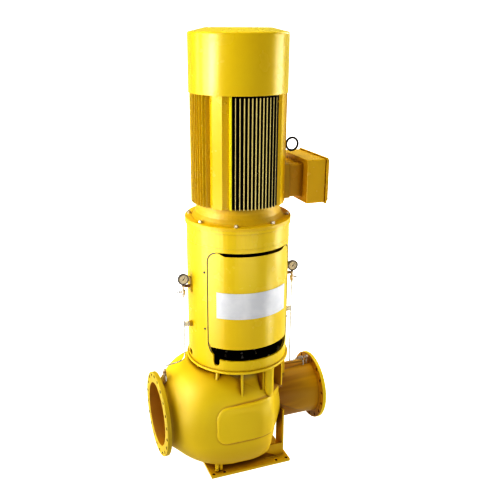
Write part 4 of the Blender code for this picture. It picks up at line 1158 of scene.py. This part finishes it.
def make_box_parts():
    """Bolts of the terminal box's lid, the flanges of its neck and its gland plate."""
    data = bmesh.new()
    spots = list(itertools.product((-0.205, 0.0, 0.205), (2.175, 2.462)))
    for y, z in spots + [(-0.205, 2.3185), (0.205, 2.3185)]:
        add_bolt(data, along((LID_X, y, z), (1.0, 0.0, 0.0)), 0.017, 0.009, 0.013)
    finished("lid_bolts", data, BOLT)
    data = bmesh.new()
    for start, end, bevel in ((0.455, 0.4612, 0.0015), (0.3524, 0.36, 0.002)):
        add_box(data, (start, -BOX_NECK_HALF, BOX_NECK_Z[0]), (end, BOX_NECK_HALF, BOX_NECK_Z[1]),
                bevel)
    finished("box_neck_flanges", data, BOX_NECK)
    data = bmesh.new()
    add_box(data, (0.5, -0.16, 2.1475), (0.58, 0.16, 2.1548), 0.0015)
    for y in (-0.095, 0.0, 0.095):
        for rise, steps, profile in ((2.1476, 6, mm((0, 0), (26, 0), (26, 10), (23, 13), (0, 13))),
                                     (2.135, 28, mm((0, 0), (19, 0), (18, 6), (0, 7)))):
            add_lathe(data, profile, steps, along((0.54, y, rise), DOWN))
    finished("gland_plate", data, BOX)


def make_welds():
    """Weld beads at the feet of the upright plates and their gussets."""
    data = bmesh.new()
    z = BASE_TOP + 0.0005
    for side in SIDES:
        near, far, low, top = (side * y for y in (0.15, 0.27, 0.08, 0.19))
        edge = far - side * 0.0145
        add_straight_bead(data, (0.2935, near, z), (0.2935, far - side * 0.014, z))
        add_straight_bead(data, (0.3085, near, z), (0.3085, far, z))
        add_straight_bead(data, (0.144, far + side * 0.0005, z), (0.308, far + side * 0.0005, z))
        add_straight_bead(data, (0.2935, edge, z + 0.01), (0.2935, edge, 0.14), 0.004)
        for x in (-0.2395, -0.2545):
            add_straight_bead(data, (x, low, z), (x, top, z))
    add_bead(data, [Vector(FOOT_PLACE) + Vector((0.172 * cos(turn), 0.172 * sin(turn),
                                                 z + 0.001))
                    for turn in turns(180) + [2.0 * pi]], 0.005, 0.1)
    finished("weld_beads", data, CAST)


def make_drain():
    """The drain nipple with its plug and the lug beside it, under the casing."""
    nipple, lug = (-0.279, -0.29, 0.0), (-0.2475, -0.288, 0.0)
    data = bmesh.new()
    for place, steps, profile in (
            (nipple, 28, mm((0, 110), (18.5, 110), (17, 85), (16.5, 56), (14.5, 54), (14.5, 48),
                            (0, 48))),
            (nipple, 6, mm((0, 49), (18.5, 49), (18.5, 32), (16, 30), (0, 30))),
            (lug, 28, mm((0, 110), (17.5, 110), (16.5, 34), (14.5, 30), (0, 30)))):
        add_lathe(data, profile, steps, Matrix.Translation(place))
    finished("drain_fittings", data, CAST)


def make_eye():
    """The lifting eye, smooth and round, with its collar."""
    height, major, minor = 2.569, 0.0475, 0.0078
    upright = Matrix.Translation((0.435, 0.0, height)) @ Matrix.Rotation(pi / 2.0, 4, "X")
    data = bmesh.new()
    rings = []
    for turn in turns(48):
        reaches = [(major + minor * cos(roll), minor * sin(roll)) for roll in turns(14)]
        rings.append([upright @ Vector((reach * cos(turn), reach * sin(turn), rise))
                      for reach, rise in reaches])
    add_loft(data, rings, closed=True)
    collar = mm((0, 0), (17.5, 0), (18, 2), (18, 9), (16, 12), (10.5, 14), (9, 22), (8, 34),
                (0, 36))
    add_lathe(data, collar, 28, along((0.3525, 0.0, height), (1.0, 0.0, 0.0)))
    eye = finished("lifting_eye_ring", data, BLACK)
    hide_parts("lifting_eye")


def make_gauge(word, side):
    """A pressure gauge: case with its bezel, dial, print, needle and stem."""
    x = side * GAUGE_X
    back = along((x, GAUGE_Y + 0.014, GAUGE_Z), FRONT)
    data = bmesh.new()
    add_lathe(data, mm((0, 0), (34, 0), (38.5, 2), (40, 6), (40, 20.5), (42.5, 21.5), (43.8, 23.5),
                       (43.8, 27.5), (42.5, 29.6), (40, 30), (35, 29), (33.8, 26.2), (0, 26.2)),
              64, back)
    foot = GAUGE_VALVE_Z + 0.0505
    add_lathe(data, ((0.0, foot), (0.008, foot), (0.008, foot + 0.01), (0.0062, foot + 0.012),
                     (0.0062, GAUGE_Z - 0.036), (0.0, GAUGE_Z - 0.034)), 16,
              Matrix.Translation((x, GAUGE_Y, 0.0)))
    case = finished(f"{word}_gauge_case", data, CASE)
    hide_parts(f"{word}_gauge")
    data = bmesh.new()
    add_lathe(data, mm((0, 25.8), (34, 25.8), (34, 26.6), (0, 26.6)), 48, back)
    finished(f"{word}_gauge_dial", data, DIAL)
    data = bmesh.new()
    for i in range(41):
        turn = radians(-135.0 + 270.0 * i / 40.0)
        start, half = (0.0288, 0.0003) if i % 8 else (0.025, 0.0006)
        dial_bar(data, back, turn, start, 0.0315, half, 0.0266, 0.027)
    dial_bar(data, back, radians(38.0), -0.011, 0.029, 0.0021, 0.0275, 0.0282, 0.25)
    add_lathe(data, mm((0, 26.6), (4.2, 26.6), (4.2, 28.4), (0, 28.8)), 20, back)
    for i in range(6):
        add_number(data, str(2 * i), back, radians(-135.0 + 54.0 * i), 0.019)
    finished(f"{word}_gauge_marks", data, INK)


def dial_bar(data, back, turn, start, end, half, low, high, tip=1.0):
    """A mark or needle on a dial, its angle clockwise from the top."""
    right = Vector((cos(turn), 0.0, -sin(turn)))
    out = Vector((sin(turn), 0.0, cos(turn)))
    corners = ((start, half), (end, half * tip), (end, -half * tip), (start, -half))
    add_loft(data, [[back.translation + out * reach + right * width + Vector(FRONT) * depth
                     for reach, width in corners] for depth in (low, high)], caps=True)


def add_number(data, text, back, turn, reach):
    """A number on a dial, upright at its place."""
    font = bpy.data.curves.new("number", "FONT")
    font.body = text
    font.size = 0.0075
    font.align_x = "CENTER"
    font.align_y = "CENTER"
    font.extrude = 0.0002
    font.resolution_u = 2
    holder = add_object("number", font)
    mesh = evaluated_mesh(holder)
    bpy.data.objects.remove(holder, do_unlink=True)
    spot = back.translation + Vector((sin(turn) * reach, -0.0268, cos(turn) * reach))
    mesh.transform(Matrix.Translation(spot) @ Matrix.Rotation(pi / 2.0, 4, "X"))
    data.from_mesh(mesh)
    bpy.data.meshes.remove(mesh)


def make_fittings():
    """Compression nuts at the ends of the gauge lines, and the screws of their clamps."""
    data = bmesh.new()
    for spot, direction in (((-GAUGE_X, GAUGE_Y, GAUGE_VALVE_Z - 0.0245), DOWN),
                            ((GAUGE_X, GAUGE_Y, GAUGE_VALVE_Z - 0.0245), DOWN),
                            ((-0.614, -0.01, 0.8545), UP),
                            ((0.5415, -0.01, 0.748), (-1.0, 0.0, 0.0))):
        add_lathe(data, mm((0, 0), (9.8, 0), (10.2, 1), (10.2, 11), (8.5, 13.5), (6.2, 16),
                           (0, 16)), 6, along(spot, direction))
    finished("line_nuts", data, BRONZE)
    data = bmesh.new()
    for side in SIDES:
        for z in (1.221, 1.249):
            place = along((side * 0.42, GAUGE_Y - 0.0088, z), FRONT)
            add_screw(data, place, 0.0038, 0.003)
        for z in (1.51, 1.598):
            add_screw(data, along((side * 0.3952, -0.02, z), (side, 0.0, 0.0)), 0.0055, 0.004)
    finished("bracket_screws", data, BOLT)


# The scene, in order

make_camera()
make_lights()
make_world()
make_floor()
make_casing()
make_pad()
make_foot()
make_neck_shells()
make_cover()
make_nuts()
make_window_edges()
make_guard_screws()
make_cowl()
make_lantern_seam()
make_box_parts()
make_welds()
make_drain()
make_eye()
make_gauge("suction", -1.0)
make_gauge("discharge", 1.0)
make_fittings()


# Materials of the CAD nodes

FINISHES = {
    "baseplate": BASE, "lantern": TUBE, "front_guard": GUARD, "rear_guard": GUARD,
    "guard_plate": SILVER, "motor_flange": BELL, "motor_frame": FINS, "fan_cover": COWL,
    "terminal_box_neck": BOX_NECK, "terminal_box": BOX, "terminal_box_lid": BOX,
    "seal_housing": SHAFT, "shaft_coupling": SHAFT, "lifting_eye": BLACK,
    "volute_casing": CAST, "casing_cover": CAST,
}
BOTH_SIDES = {
    "leg_front": PLATE_WORK, "leg_rear": PLATE_WORK, "gauge_bracket": BRACKET,
    "line_clamp": CLAMP, "gauge_line": STEEL, "gauge_lever": STEEL, "tapping_lever": STEEL,
    "gauge_cock": BRONZE, "tapping_cock": BRONZE, "gauge": CASE,
}
for word in ("suction", "discharge"):
    FINISHES.update({f"{word}_{part}": finish for part, finish in BOTH_SIDES.items()})
for name, finish in FINISHES.items():
    NODES[name].data.materials.clear()
    NODES[name].data.materials.append(finish)
